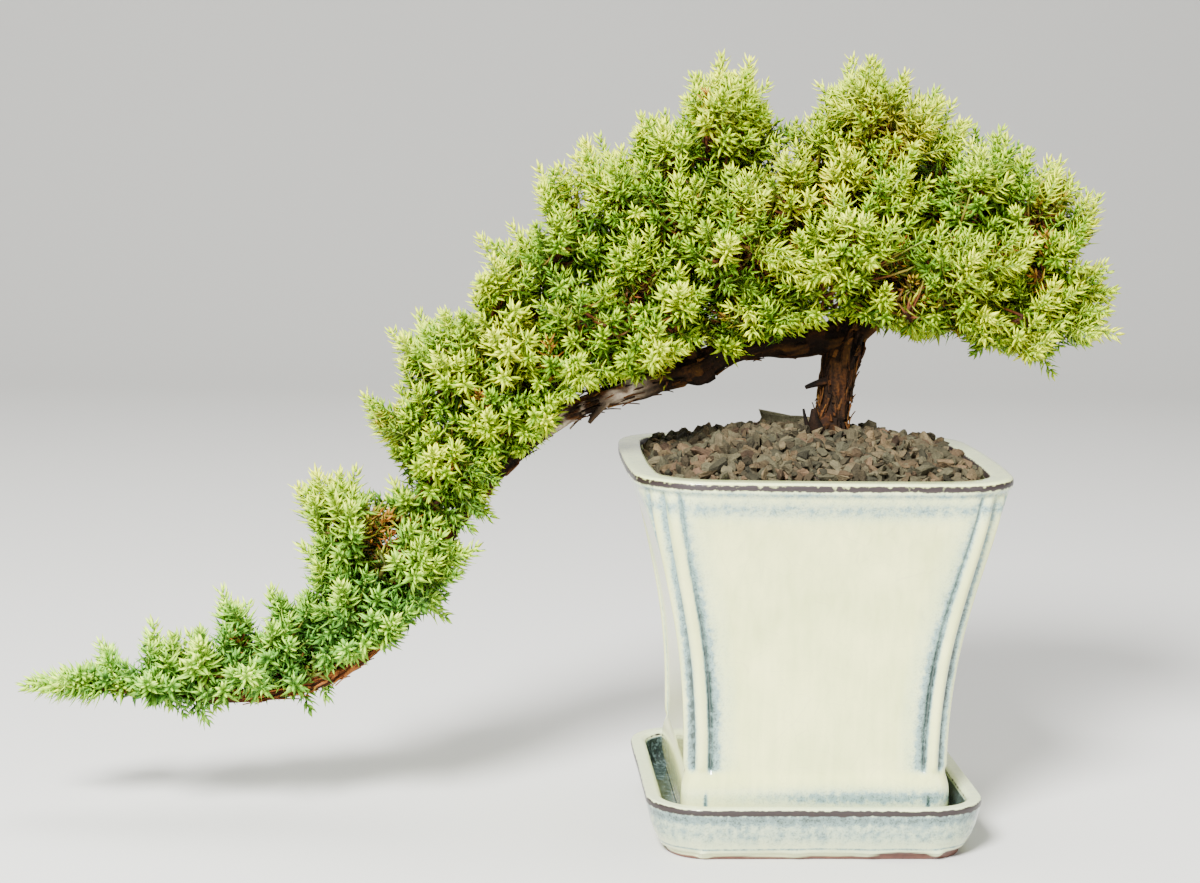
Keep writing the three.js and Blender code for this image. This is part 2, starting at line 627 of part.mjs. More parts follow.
// One shoot: a core facet drawn out to a slim stem, then one or two leafy joints between
// three-cornered rings, each ring turned against the last so that six facets lie between
// two rings, every facet carrying a needle, and a last needle at the tip.
function addShoot(shape, root, base, tip, random, free) {
  const leafyShare = 0.68;
  const along = tip.clone().sub(base).normalize();
  const beads = [...stemBeads(shape, root, base), ...leafyBeads(base, tip)];
  let ring = shape.ringLike(root, base, along, SHOOT_RADIUS, 0);
  shape.drawOut(root, ring);
  const joints = base.distanceTo(tip) > SHOOT_LENGTH - 1 ? 2 : 1;
  for (let joint = 1; joint <= joints; joint += 1) {
    const centre = base.clone().lerp(tip, (joint / joints) * leafyShare);
    const radius = SHOOT_RADIUS * (1 - 0.15 * joint);
    const upper = shape.ringLike(ring, centre, along, radius, Math.PI / 3);
    for (let j = 0; j < 3; j += 1) {
      const next = (j + 1) % 3;
      const lean = 1.05 - 0.2 * joint + (random() - 0.5) * 0.25;
      for (const face of [[ring[j], ring[next], upper[j]], [ring[next], upper[next], upper[j]]]) {
        beads.push(...addNeedle(shape, face, base, along, lean, random, free));
      }
    }
    ring = upper;
  }
  const apex = shape.points.push(tip.clone()) - 1;
  for (let j = 0; j < 3; j += 1) {
    shape.faces.push([ring[j], ring[(j + 1) % 3], apex]);
  }
  shape.beads.push(...beads);
}

// Where shoots end: points on the outside of the foliage, each straight out from a facet
// of its spray's core, none inside a neighbouring spray and none closer to another than
// the spacing.
function placeShoots(list, random) {
  const candidates = list.flatMap((spray) => spray.shape.open.map((face) => {
    const direction = spray.shape.middleOf(face).sub(spray.centre).divide(spray.core).normalize();
    const tip = direction.clone().multiply(spray.size).add(spray.centre);
    return { spray, face, direction, tip, order: random() };
  }));
  candidates.sort((a, b) => a.order - b.order);
  const accepted = [];
  for (const shoot of candidates) {
    const spacing = shoot.spray.centre.z > CROWN_BOTTOM ? CROWN_SPACING : BRANCH_SPACING;
    const crowded = accepted.some((other) => other.tip.distanceTo(shoot.tip) < spacing);
    if (!crowded && !isHidden(shoot.tip, shoot.spray, list)) {
      accepted.push(shoot);
    }
  }
  return accepted;
}

// The core's other facets end in short spurs where there is room for them.
function addSpurs(spray, list, limbBeads) {
  const near = beadsRound(spray.centre, spray, list, limbBeads, true);
  const flat = [];
  for (const face of spray.shape.open) {
    const middle = spray.shape.middleOf(face);
    const tip = middle.clone().sub(spray.centre).setLength(SPUR_LENGTH).add(middle);
    const beads = beadsAlong(middle, tip, 1.5, 0.3);
    if (clearOf(beads, near, GAP) && !isHidden(tip, spray, list)) {
      const apex = spray.shape.points.push(tip) - 1;
      for (let j = 0; j < 3; j += 1) {
        spray.shape.faces.push([face[j], face[(j + 1) % 3], apex]);
      }
      spray.shape.beads.push(...beads);
    } else {
      flat.push(face);
    }
  }
  spray.shape.open = flat;
}

function foliage() {
  const random = randomStream(2024);
  const list = sprays();
  const limbBeads = woodBeads();
  list.forEach((spray) => startSpray(spray, limbBeads));
  for (const { spray, face, direction, tip } of placeShoots(list, random)) {
    const strangers = beadsRound(tip, spray, list, limbBeads, false);
    const near = beadsRound(tip, spray, list, limbBeads, true);
    const free = (beads) => clearOf(beads, near, GAP);
    const growth = direction.clone().addScaledVector(UP, 0.3).normalize();
    const full = Math.min(SHOOT_LENGTH, tip.distanceTo(spray.centre) - 3 * SHOOT_STEM);
    const length = direction.z > 0.3 ? full : Math.min(full, ROSETTE_LENGTH);
    const base = tip.clone().addScaledVector(growth, -length);
    const reachable = clearOf(stemBeads(spray.shape, face, base), strangers, GAP);
    if (reachable && free(leafyBeads(base, tip))) {
      spray.shape.open.splice(spray.shape.open.indexOf(face), 1);
      addShoot(spray.shape, face, base, tip, random, free);
    }
  }
  list.forEach((spray) => addSpurs(spray, list, limbBeads));
  return list;
}

// The crown's sprays are the palest, and the low branch's the bluest.
function needleFinish(spray) {
  if (spray.centre.z > 235) {
    return FINISHES.paleNeedles;
  }
  return spray.centre.z > 120 ? FINISHES.greenNeedles : FINISHES.blueNeedles;
}

// ---------------------------------------------------------------- Assembly

const bonsai = new THREE.Group();
const plantingHole = limb(TRUNK.slice(0, 5), TRUNK_SIDES, 0.5);
const rootHole = limb(STUBS[2], 5, 0.5);
const inPot = potHollow(GAP);

bonsai.add(meshOf('saucer', saucer(), FINISHES.saucerGlaze));
bonsai.add(meshOf('pot', pot(), FINISHES.potGlaze));
bonsai.add(meshOf('drain_mesh', drainMesh(), FINISHES.plasticMesh));

const meshSeat = boxSolid(
  2 * (MESH_HALF + GAP), 2 * (MESH_HALF + GAP), MESH_THICK + 2 * GAP, 0, 0, POT_FLOOR);
const soil = soilBlock(0).intersect(inPot).subtract(meshSeat).subtract(plantingHole);
bonsai.add(meshOf('soil', soil.subtract(rootHole), FINISHES.soil));

const gravel = gravelBlock().intersect(inPot).subtract(soilBlock(GAP)).subtract(plantingHole);
bonsai.add(meshOf('gravel', gravel.subtract(rootHole), FINISHES.gravel));

bonsai.add(meshOf('trunk_and_branches', wood(), FINISHES.bark));

for (const spray of foliage()) {
  bonsai.add(meshOf(`needles_${spray.name}`, spray.shape.solid(), needleFinish(spray)));
}

export default bonsai;
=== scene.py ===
"""A cascading juniper bonsai in a glazed square pot and saucer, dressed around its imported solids.

Sizes in the tables are millimetres in the part's own frame: the origin is the middle of the
saucer's underside, +Z up, +X towards the crown's end, -Y towards the front.
"""

import math
from collections import namedtuple

import bpy
import numpy as np
from mathutils import Matrix, Vector


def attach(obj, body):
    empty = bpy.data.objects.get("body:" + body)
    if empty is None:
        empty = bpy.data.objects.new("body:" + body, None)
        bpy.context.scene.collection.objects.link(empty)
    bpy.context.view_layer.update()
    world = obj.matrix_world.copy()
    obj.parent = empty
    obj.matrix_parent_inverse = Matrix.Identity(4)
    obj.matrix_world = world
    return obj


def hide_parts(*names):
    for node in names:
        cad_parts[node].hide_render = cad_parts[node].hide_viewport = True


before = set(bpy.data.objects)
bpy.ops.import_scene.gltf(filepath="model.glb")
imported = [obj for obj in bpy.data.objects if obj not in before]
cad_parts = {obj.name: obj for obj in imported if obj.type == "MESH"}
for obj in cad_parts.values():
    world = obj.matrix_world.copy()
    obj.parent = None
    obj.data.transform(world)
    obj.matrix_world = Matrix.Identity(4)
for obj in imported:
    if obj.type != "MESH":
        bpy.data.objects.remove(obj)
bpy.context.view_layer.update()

# ------------------------------------------------------------------ Driving dimensions

MM = 0.001
UP = np.array([0.0, 0.0, 1.0])
BACK = np.array([0.0, 1.0, 0.0])
LEVEL = np.array([1.0, 1.0, 0.0])    # takes the height out of a point

POT_BASE = 9.8
POT_FLOOR = 17.0                 # top of the pot's floor, inside
POT_RIM = 155.6
RIM_HALF = 76.2
POT_BAND = 33.0                  # height where the rounded base band meets the panels
RIM_BAND = 5.2                   # height of the upright band round the rim
WAIST_HALF = 52.8
FLARE_POWER = 2.25
RELIEF_END = 14.0                # how far along the outline the corner beads reach
GROOVE = 8.0                     # how far the outer grooves lie from a corner's diagonal
STATION = 0.5                    # spacing of the points across a corner's beads
FAR_FROM_CORNER = 99.0           # past every groove: the middle of a side
DRAIN_RADIUS = 8.0
# The rounded base band: height and half width.
BAND_PROFILE = [
    (9.8, 50.4), (11.5, 52.4), (14.5, 53.7), (19, 54.6), (24, 54.8), (28, 54.5), (31, 53.8), (34, 52.9),
    (37, 52.8), (200, 52.8),
]
# The rim's edge, from outside to inside: height, half width and corner radius.
RIM_EDGE = [
    (151.0, 75.9, 30), (151.8, 76.2, 30), (153, 76.3, 30), (154.6, 76.2, 30), (155.2, 75.9, 29.8),
    (155.6, 75.2, 29.2), (155.6, 73.5, 27.6), (155.5, 71, 25.4), (155.6, 68.2, 23), (155.3, 67.2, 22.1),
    (154.6, 66.7, 21.7), (153.6, 66.6, 21.7),
]
# The pot's hollow: height and half width, and height and corner radius.
HOLLOW_PROFILE = [(17, 45.5), (60, 47.5), (105, 53.5), (135, 61), (150, 65.8), (180, 66.6)]
HOLLOW_CORNERS = [(17, 6), (60, 7), (105, 8), (135, 14), (150, 21), (180, 21.7)]

SAUCER_HALF = 68.7
SAUCER_CORNER = 24.0
# The saucer from under its foot round the rim to its floor: height and half width.
SAUCER_PROFILE = [
    (0, 40), (0, 56), (0, 59.5), (1.4, 60.2), (2.6, 60.6), (3.2, 62.0), (4.4, 63.1), (6, 64), (8, 65.1),
    (10, 66), (13, 66.9), (16, 67.6), (19, 68.3), (21.2, 68.7), (22.4, 68.6), (23, 68.1), (23.1, 67.2),
    (23.1, 65.4), (23.0, 64.0), (22.4, 63.0), (21.4, 62.2), (18, 61.5), (13, 60.6), (10.6, 59.3),
    (9.6, 57), (9.5, 50), (9.5, 20),
]
# Drops of glaze that set over the front of the saucer's foot: x and width.
DRIPS = [(-45.7, 2.4), (-10.6, 2.4), (21.0, 3.6), (47.4, 3.2)]

MOUND_EDGE, MOUND_RISE, MOUND_REACH = 153.2, 12.6, 68.0
HOLLOW_HALF, HOLLOW_CORNER = 65.6, 21.0    # half width and corner of the hollow at the gravel
GRIT_HALF, GRIT_BASE = 65.2, 149.5         # half width and underside of the grit bed
GRIT_DROP = 2.4                  # how far its top lies under the mound
TRUNK_FOOT = (10.0, 5.0, 9.5)    # x, y and radius where the trunk stands in the gravel
# Layers of stones: spacing, how far they lie under the mound's surface, and relative size.
GRAVEL_LAYERS = [(4.6, 0.2, 0.9), (4.9, 2.4, 0.95), (8.0, -1.5, 0.8)]
STONE_HALF = (5.0, 3.5, 2.2)     # half length, width and thickness of a full-sized stone
SLAB = (-6.5, 38.0, 164.6)       # middle of a flat stone that leans at the back of the mound
SLAB_HALF = (9.2, 1.8, 4.2)
GRAVEL_SEED, FOLIAGE_SEED = 41, 2024

SEEN_FROM = (-147.7, -1055.6, 302.3)       # the fitted viewpoint
HEADING, DIP, ROLL = -3.286, 7.605, -0.9465    # how the camera is turned there, in degrees
LENS = 76.96                     # focal length for a frame 36 mm wide

# The wood: x, y, z and radius along each limb, as in the solids.
TRUNK = [
    (9, 4, 139, 8.6), (9.6, 5, 156, 8.6), (10, 5, 167, 7.8), (11.3, 5.5, 178, 6.9), (12.6, 6, 190, 7.2),
    (15, 6.5, 201, 8), (18.5, 7, 213, 6.6), (21, 6, 228, 5), (20, 5, 246, 3.8), (25, 5, 262, 2.9),
    (27, 4, 278, 2),
]
LOW_BRANCH = [
    (19, 7, 205.5, 5.2), (4, 4, 204.4, 6), (-8, 2, 202.6, 5.7), (-19, 1, 201.8, 5), (-32, 0, 199.4, 4.8),
    (-46, -1, 193.4, 5.6), (-58, -1, 189, 4.6), (-71, 0, 184.2, 4.7), (-88, 0, 178.6, 4.2),
    (-104, 0, 171, 4.2), (-117, 0, 161, 3.8), (-129, 1, 149, 3.7), (-140, 2, 136, 3.5),
    (-149, 1, 122, 3.3), (-157, 0, 107, 3.2), (-167, -1, 89, 3.1), (-179, -1, 75.5, 3),
    (-193, 0, 64.5, 2.9), (-209, 0, 57, 2.7), (-229, 0, 53, 2.4), (-250, 0, 52, 2.1),
    (-272, 0, 54, 1.6), (-294, 0, 56, 1.2),
]
SIDE_LIMBS = [
    [(20, 7, 208, 5.4), (34, 5, 218, 4.4), (52, 3, 226, 3.8), (72, 1, 232, 3), (90, 0, 237, 2)],
    [(46, 3.5, 222, 2.8), (60, -2, 216, 2.2), (74, -4, 212, 1.6)],
    [(52, 3, 226, 2.8), (60, 4, 242, 2.3), (66, 4, 257, 1.6)],
    [(40, 4, 220, 2.8), (46, -12, 228, 2.2), (48, -26, 236, 1.5)],
    [(38, 5, 219, 2.8), (44, 18, 228, 2.2), (48, 29, 236, 1.5)],
    [(22, 6, 226, 3.6), (6, 5, 240, 3.1), (-10, 4, 254, 2.6), (-25, 3, 266, 2.1), (-35, 2, 279, 1.5)],
    [(21, 6, 234, 2.8), (16, -10, 240, 2.2), (10, -26, 246, 1.5)],
    [(21, 6, 236, 2.8), (16, 18, 242, 2.2), (10, 30, 248, 1.5)],
    [(-14, 1, 201, 3.2), (-20, -8, 216, 2.6), (-30, -18, 234, 2), (-36, -27, 246, 1.4)],
    [(-12, 1, 201, 3.2), (-20, 12, 216, 2.6), (-30, 20, 234, 2), (-36, 28, 246, 1.4)],
    [(-46, -1, 193, 3.6), (-54, 0, 210, 3), (-64, 0, 230, 2.4), (-74, 1, 252, 1.6)],
    [(-88, 0, 178, 3.2), (-96, 0, 196, 2.6), (-102, 0, 214, 2.2), (-107, 0, 232, 1.5)],
    [(-104, 0, 171, 3), (-118, 0, 184, 2.4), (-128, 0, 198, 1.9), (-133, 0, 209, 1.4)],
    [(-117, 0, 161, 2.8), (-136, 0, 172, 2.2), (-149, 0, 184, 1.6)],
    [(-140, 2, 136, 2.6), (-156, 0, 146, 2), (-168, 0, 152, 1.5)],
    [(-149, 1, 122, 2.4), (-166, 0, 124, 2), (-182, 0, 130, 1.4)],
    [(-160, 0, 102, 2.2), (-174, 0, 104, 1.8), (-187, 0, 106, 1.3)],
    [(-193, 0, 65, 2), (-200, 0, 73, 1.6), (-206, 0, 80, 1.2)],
    [(-229, 0, 53.5, 1.8), (-232, 0, 64, 1.4)],
]
STUBS = [
    [(11, 4, 187.5, 2.6), (3.5, 1, 186.3, 1.7), (-1.8, -1, 184.8, 0.9)],
    [(-86, -1, 178, 3), (-90, -4, 172.5, 1.6), (-92, -5, 169.5, 0.9)],
    [(9, 3, 170, 4.5), (2, 0, 166, 3), (-2.5, -2, 164.2, 1.8)],
]

# Lumps on the bark, too small for the solids: a knob under the low branch, and a dark mass
# with a wisp of root at the trunk's left foot.
KNOBS = [
    [(-42, -2, 192, 4.4), (-47, -3, 189.5, 4.4), (-51.5, -3, 189, 3.4), (-55, -3, 190.5, 2)],
    [(7, 0, 160, 4), (4, -2, 166, 3.2), (2, -3, 171, 2.2), (1.6, -3, 176, 1.1)],
    [(3, -2, 163, 1.8), (-0.4, -3, 167.5, 1.2), (-1.9, -3, 172, 0.8), (-2.8, -3, 176, 0.5)],
]

# Strips of loose bark: the limb, how many, seed, and their size, breadth and lift.
FLAKES = [
    (TRUNK[1:7], 130, 5, 0.7, 3.2, 0.5), (TRUNK[1:7], 60, 4, 1.0, 1.0, 1.0),
    (LOW_BRANCH[:20], 140, 6, 0.8, 1.6, 0.8), (LOW_BRANCH[15:21], 130, 8, 1.2, 1.6, 0.8),
    (LOW_BRANCH[6:10], 40, 9, 1.0, 1.0, 1.0),
]
FLAKE_HALF = 0.28                # half thickness of a strip
BLEACHED = (-77, -103)           # x of the bleached strips on the low branch

# The tufts of foliage: x, z, half width, half height, how far the sprays stand to the front
# and to the back (0 for a single spray), half depth.
TUFTS = {
    "crown_right_end": (105, 227, 21, 22, 0, 25),
    "crown_right_shoulder": (98, 252, 21, 22, 0, 26),
    "crown_right_top": (66, 268, 23, 24, 17, 19),
    "crown_right_low": (74, 212, 25, 16, 20, 19),
    "crown_right": (52, 240, 23, 22, 35, 18),
    "crown_low_middle": (34, 218, 18, 14, 24, 16),
    "crown_peak": (27, 292, 24, 26, 16, 19),
    "crown_saddle": (-7, 272, 20, 21, 0, 32),
    "crown_middle": (8, 249, 24, 23, 37, 19),
    "crown_second_peak": (-41, 290, 23, 26, 15, 18),
    "crown_low_left": (-12, 219, 20, 15, 22, 18),
    "crown_left": (-38, 249, 24, 25, 36, 19),
    "crown_left_shoulder": (-76, 267, 22, 21, 15, 18),
    "crown_left_side": (-68, 215, 23, 27, 28, 18),
    "bend_top": (-107, 247, 21, 22, 0, 28),
    "bend_side": (-102, 210, 20, 23, 22, 16),
    "bend_outside": (-133, 221, 19, 20, 12, 15),
    "bend_inside": (-112, 181, 16, 13, 15, 13),
    "fall_top": (-156, 195, 18, 17, 0, 20),
    "fall_side": (-134, 190, 17, 16, 17, 14),
    "fall_outside": (-168, 168, 18, 18, 11, 14),
    "fall_inside": (-137, 160, 16, 15, 16, 13),
    "fall_tuft": (-193, 135, 20, 15, 0, 18),
    "fall_middle": (-162, 138, 18, 17, 13, 13),
    "fall_knee": (-194, 108, 17, 17, 0, 18),
    "fall_low": (-162, 107, 18, 17, 14, 13),
    "foot_inside": (-183, 86, 19, 16, 12, 13),
    "foot_tuft": (-208, 78, 16, 19, 0, 18),
    "tail_tuft": (-233, 79, 16, 18, 0, 17),
    "tail_side": (-218, 61, 19, 11, 11, 12),
    "tail_low": (-252, 62, 18, 15, 0, 15),
    "tail_end": (-279, 62, 19, 14, 0, 12),
    "tail_tip": (-307, 59, 17, 9, 0, 9),
}
# Leading shoots whose tips stand on the tree's outline: x, z and y of the tip.
PEAKS = [
    (-327, 58, 0), (-318, 61, 2), (-317, 56, -2), (-309, 65, 0), (-306, 58, -5), (-295, 76, 2),
    (-272, 86, -3), (-258, 79, 5), (-244, 99, 0), (-233, 93, 6), (-223, 101, -5), (-211, 95, 5),
    (-212, 118, 0), (-213, 143, 0), (-205, 149, 5), (-195, 150, -6), (-182, 167, 0), (-186, 181, 2),
    (-172, 186, -8), (-175, 208, 0), (-161, 207, 6), (-154, 216, -10), (-141, 222, 4), (-139, 247, 0),
    (-126, 252, 6), (-115, 268, -4), (-105, 277, 6), (-96, 287, -6), (-80, 284, 8), (-73, 298, 0),
    (-63, 299, 8), (-53, 314, -6), (-42, 319, 3), (-29, 321, -5), (-19, 300, 8), (-4, 298, -8),
    (0, 311, 4), (11, 319, -6), (22, 323, 2), (36, 317, -4), (51, 310, 4), (60, 298, -8), (78, 295, 4),
    (86, 286, -6), (103, 282, 0), (109, 276, 8), (119, 268, 0), (117, 256, -8), (125, 239, 2),
    (128, 228, -6), (122, 212, 5), (-266, 46, 2), (-258, 43, -4), (-249, 40, -2), (-245, 44, 4),
    (-206, 45, -3), (-199, 49, 3), (-129, 136, -12), (-130, 129, -8), (-138, 125, -13), (-134, 139, -15),
]
# Balls of short shoots that cover the low branch where it falls: x, y, z and radius.
SKIRT = [
    (8, -5, 214, 8), (-2, -6, 212, 9), (-14, -6, 211, 10), (-26, -7, 209, 10), (-38, -7, 206, 10),
    (-50, -7, 201, 10), (-62, -6, 197, 10), (-75, -6, 191, 9), (-88, -5, 185, 9), (-2, 7, 214, 10),
    (-26, 7, 213, 12), (-50, 7, 207, 11), (-75, 6, 196, 9), (-100, -5, 176, 8), (-110, -6, 170, 9),
    (-119, -6, 163, 9), (-127, -6, 155, 9), (-135, -6, 146, 9), (-142, -6, 136, 9), (-148, -6, 126, 9),
    (-153, -6, 116, 9), (-157, -5, 107, 9), (-163, -5, 98, 9), (-169, -5, 90, 9), (-178, -4, 83, 10),
    (-189, -2, 76, 11), (-202, -1, 70, 13), (-214, 0, 68, 15), (-226, 0, 67, 15), (-240, 0, 65, 14),
    (-254, 0, 63, 14), (-266, 0, 61, 13), (-278, 0, 61, 12), (-290, 0, 59, 10), (-301, 0, 58, 8),
]
# The edge of the foliage as it shows from the front, as x and z on the plane y = 0.
OUTLINE = [
    (-327, 55), (-315, 60), (-306, 66), (-296, 67), (-292, 77), (-286, 72), (-278, 68), (-274, 84),
    (-269, 76), (-263, 83), (-259, 76), (-253, 84), (-248, 78), (-245, 95), (-236, 92), (-229, 83),
    (-224, 83), (-222, 99), (-214, 94), (-210, 99), (-211, 109), (-207, 122), (-211, 129), (-214, 142),
    (-207, 149), (-197, 147), (-185, 143), (-177, 140), (-169, 144), (-170, 153), (-178, 154),
    (-173, 161), (-183, 165), (-187, 178), (-181, 183), (-172, 177), (-170, 183), (-173, 191),
    (-171, 197), (-175, 207), (-164, 208), (-158, 215), (-153, 217), (-143, 219), (-140, 229),
    (-134, 233), (-138, 247), (-126, 246), (-119, 251), (-112, 255), (-116, 265), (-113, 274),
    (-103, 279), (-97, 289), (-91, 281), (-79, 283), (-77, 290), (-71, 299), (-59, 296), (-58, 304),
    (-53, 315), (-40, 315), (-32, 315), (-28, 320), (-23, 306), (-16, 298), (-4, 297), (2, 308),
    (9, 313), (17, 318), (23, 323), (30, 316), (37, 316), (40, 309), (52, 309), (54, 297), (65, 298),
    (71, 292), (81, 294), (89, 287), (104, 282), (104, 274), (108, 274), (120, 266), (118, 256),
    (116, 247), (112, 240), (125, 239), (129, 231), (128, 220), (123, 207), (117, 200), (108, 201),
    (95, 194), (80, 199), (68, 202), (60, 207), (46, 204), (34, 208), (23, 210), (6, 211), (-5, 206),
    (-18, 201), (-32, 198), (-43, 202), (-54, 193), (-74, 186), (-87, 181), (-96, 178), (-103, 172),
    (-109, 162), (-115, 154), (-123, 151), (-126, 144), (-131, 138), (-137, 124), (-145, 130),
    (-147, 122), (-140, 115), (-142, 104), (-150, 91), (-158, 87), (-166, 81), (-172, 77), (-181, 71),
    (-192, 66), (-203, 60), (-214, 54), (-239, 51), (-255, 50), (-272, 50), (-283, 53), (-297, 55),
    (-308, 54),
]
# Hollows from which the outer shoots are missing: x, y, z and radius.
HOLLOWS = [
    (27, -34, 240, 8), (33, -34, 224, 6), (9, -34, 266, 6), (-32, -38, 245, 7), (-72, -34, 232, 5),
    (-34, -30, 210, 5), (-178, -12, 122, 8), (-131, -14, 138, 4), (-95, -26, 235, 5), (-102, -22, 262, 4),
    (92, -18, 261, 5), (62, -42, 226, 4), (-118, -18, 214, 4),
]
# Clusters of dead, rust-red needles, most of them in the hollows: x, y, z and radius.
RUST = [
    (28, -28, 242, 8), (33, -26, 224, 8), (9, -26, 266, 7), (-32, -30, 246, 8), (-71, -26, 231, 6),
    (-34, -22, 209, 7), (-178, -6, 120, 10), (-131, -10, 136, 6), (-94, -22, 235, 6), (92, -12, 261, 6),
    (24, -20, 206, 8), (-60, -6, 192, 8), (-225, -2, 55, 7), (-200, -3, 62, 6), (60, -32, 225, 6),
    (-102, -16, 262, 5),
]
# Where whole tufts turn bronze: x, y, z and radius.
BRONZE = [(-178, -12, 167, 9), (-133, -12, 136, 4)]
# Where the foliage ripens to gold: x, y, z and radius.
RIPE = [(27, -16, 292, 30), (4, -36, 246, 18), (-8, -20, 280, 16), (-76, -18, 250, 16)]

NEEDLE_LENGTH = 8.0              # on the low branch; an eighth shorter on the crown
# How much paler or darker than its needle each of its seven corners is: foot, middle ring and point. The foot
# and the keel behind are darker, a painted shade, and the point paler.
NEEDLE_PAINTED_SHADE = np.array([-0.13, -0.13, -0.18, 0.05, 0.05, -0.14, 0.2])
SHOOT_LENGTH = 16.0
SHOOT_PITCH = 8.0                # spacing of the shoots over the outside of the foliage
SITE_TRIES = 46                  # times the mean radius squared over the spacing squared
SPRAY_BLEND = 4.5                # how smoothly neighbouring sprays flow together
LEADER_SPACING = 21.5            # spacing of the leading shoots
LEADER_REACH = 13.5              # how far round itself a leading shoot gathers the others
CORE_STEP = 17.0                 # spacing of the balls that fill the inside of the foliage
CORE_X, CORE_Z = (-322, 126), (48, 318)    # and where their grid lies

# Layers of shoots: how far outside the foliage's surface they stand, their spacing in
# pitches, whorls of needles on a shoot, vigour, how fully they die in a cluster of dead
# needles, and the share that died elsewhere. Vigour falls with depth and darkens the needles
# inside the foliage: older needles, and a painted shade.
Layer = namedtuple("Layer", "level spacing whorls vigour rust dead")
LEADER_LAYER = Layer(None, None, 10, 0.72, 0.0, 0.0)
COMPANION_LAYER = Layer(None, None, 5, 0.54, 0.0, 0.0)
SHELLS = [
    Layer(0.0, 1.0, 7, 0.5, 0.55, 0.0),
    Layer(-6.0, 1.0, 7, 0.22, 1.0, 0.02),
    Layer(-11.0, 1.0, 6, 0.1, 1.0, 0.08),
    Layer(-16.0, 1.1, 6, 0.0, 1.0, 0.14),
    Layer(-22.0, 1.2, 6, -0.1, 1.0, 0.24),
]
LEADING, OUTSIDE = -2, 0         # order of the first layer and of the shell on the outside

Leaders = namedtuple("Leaders", "foot growth lift tip hanging")
# A layer's shoots: tips, lengths, vigour, ways they grow, and the leader that each follows.
Shoots = namedtuple("Shoots", "tips length vigour way chief")

# ------------------------------------------------------------------ Numbers and noise


def unit(vectors):
    """Vectors divided by their own lengths."""
    return vectors / np.maximum(np.linalg.norm(vectors, axis=-1, keepdims=True), 1e-9)


def smoothstep(low, high, value):
    """0 below low, 1 above high, and 3t^2 - 2t^3 between."""
    t = np.clip((value - low) / (high - low), 0, 1)
    return t * t * (3 - 2 * t)


def bump(value, centre, width):
    """A bell: e to the minus square of the distance from its centre, in widths."""
    return np.exp(-(((value - centre) / width) ** 2))


def noise(points, cell, seed):
    """Smooth noise from -1 to 1: a random value at each corner of a lattice with that cell
    size, blended across each cell with the curve 3t^2 - 2t^3 along every axis. A corner's
    value is its lattice place and the seed, mixed by large primes."""
    scaled = points / cell
    base = np.floor(scaled).astype(np.int64)
    t = scaled - base
    t = t * t * (3 - 2 * t)
    total = np.zeros(points.shape[:-1])
    for corner in np.ndindex(2, 2, 2):
        c = base + corner
        h = c[..., 0] * 73856093 ^ c[..., 1] * 19349663 ^ c[..., 2] * 83492791 ^ seed * 2654435761
        h = ((h ^ (h >> 13)) * 1274126177) & 0xFFFFFFFF
        value = ((h ^ (h >> 16)) & 0xFFFF) / 32767.5 - 1
        total += value * np.prod(np.where(corner, t, 1 - t), axis=-1)
    return total


def through(knots, t):
    """Smooth curve through the knots, one row each, read at t in knot numbers: on each span
    a cubic that leaves and arrives along the line between the neighbouring knots."""
    knots = np.asarray(knots, float)
    padded = np.concatenate([2 * knots[:1] - knots[1:2], knots, 2 * knots[-1:] - knots[-2:-1]])
    i = np.clip(np.floor(t).astype(int), 0, len(knots) - 2)
    u = (t - i)[:, None]
    a, b, c, d = (padded[i + k] for k in range(4))
    return 0.5 * (2 * b + (c - a) * u + (2 * a - 5 * b + 4 * c - d) * u**2
                  + (3 * b - a - 3 * c + d) * u**3)


def table_curve(table, x):
    """The second column as a smooth curve of the first, through every row of the table."""
    table = np.asarray(table, float)
    t = np.interp(x, table[:, 0], np.arange(len(table)))
    return through(table, t)[:, 1]


# ------------------------------------------------------------------ Meshes


def mesh_piece(name, points, faces, material, replaces=(), smooth=True, marks=None):
    """A mesh object at the origin. points are millimetres, faces a list of index arrays, each
    with 3 or 4 columns, and marks gives named values for every point."""
    mesh = bpy.data.meshes.new(name)
    sizes = np.concatenate([np.full(len(f), f.shape[1]) for f in faces])
    corners = np.concatenate([f.ravel() for f in faces]).astype(np.int32)
    mesh.vertices.add(len(points))
    mesh.vertices.foreach_set("co", (points * MM).astype(np.float32).ravel())
    mesh.loops.add(len(corners))
    mesh.loops.foreach_set("vertex_index", corners)
    mesh.polygons.add(len(sizes))
    mesh.polygons.foreach_set("loop_start", (np.cumsum(sizes) - sizes).astype(np.int32))
    mesh.polygons.foreach_set("use_smooth", np.full(len(sizes), smooth))
    for mark, values in (marks or {}).items():
        layer = mesh.attributes.new(mark, "FLOAT", "POINT")
        layer.data.foreach_set("value", np.asarray(values, np.float32).ravel())
    mesh.update(calc_edges=True)
    mesh.materials.append(material)
    piece = bpy.data.objects.new(name, mesh)
    bpy.context.scene.collection.objects.link(piece)
    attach(piece, "root")
    if replaces:
        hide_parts(*replaces)


def grid_faces(rows, columns, wrap_rows=False):
    """Quads of a grid whose columns close on themselves: rows run along the form and
    columns anticlockwise round it, as seen from the far end."""
    i = np.arange(rows if wrap_rows else rows - 1)[:, None]
    j = np.arange(columns)[None, :]
    a = i * columns + j
    b = i * columns + (j + 1) % columns
    up = ((i + 1) % rows - i) * columns
    return np.stack([a, b, b + up, a + up], -1).reshape(-1, 4)


def fan_faces(ring_start, columns, pole, outward):
    """Triangles from a pole to a ring; outward says that the ring is the last one."""
    j = np.arange(columns)
    a, b = ring_start + j, ring_start + (j + 1) % columns
    p = np.full(columns, pole)
    return np.stack([a, b, p] if outward else [b, a, p], -1)


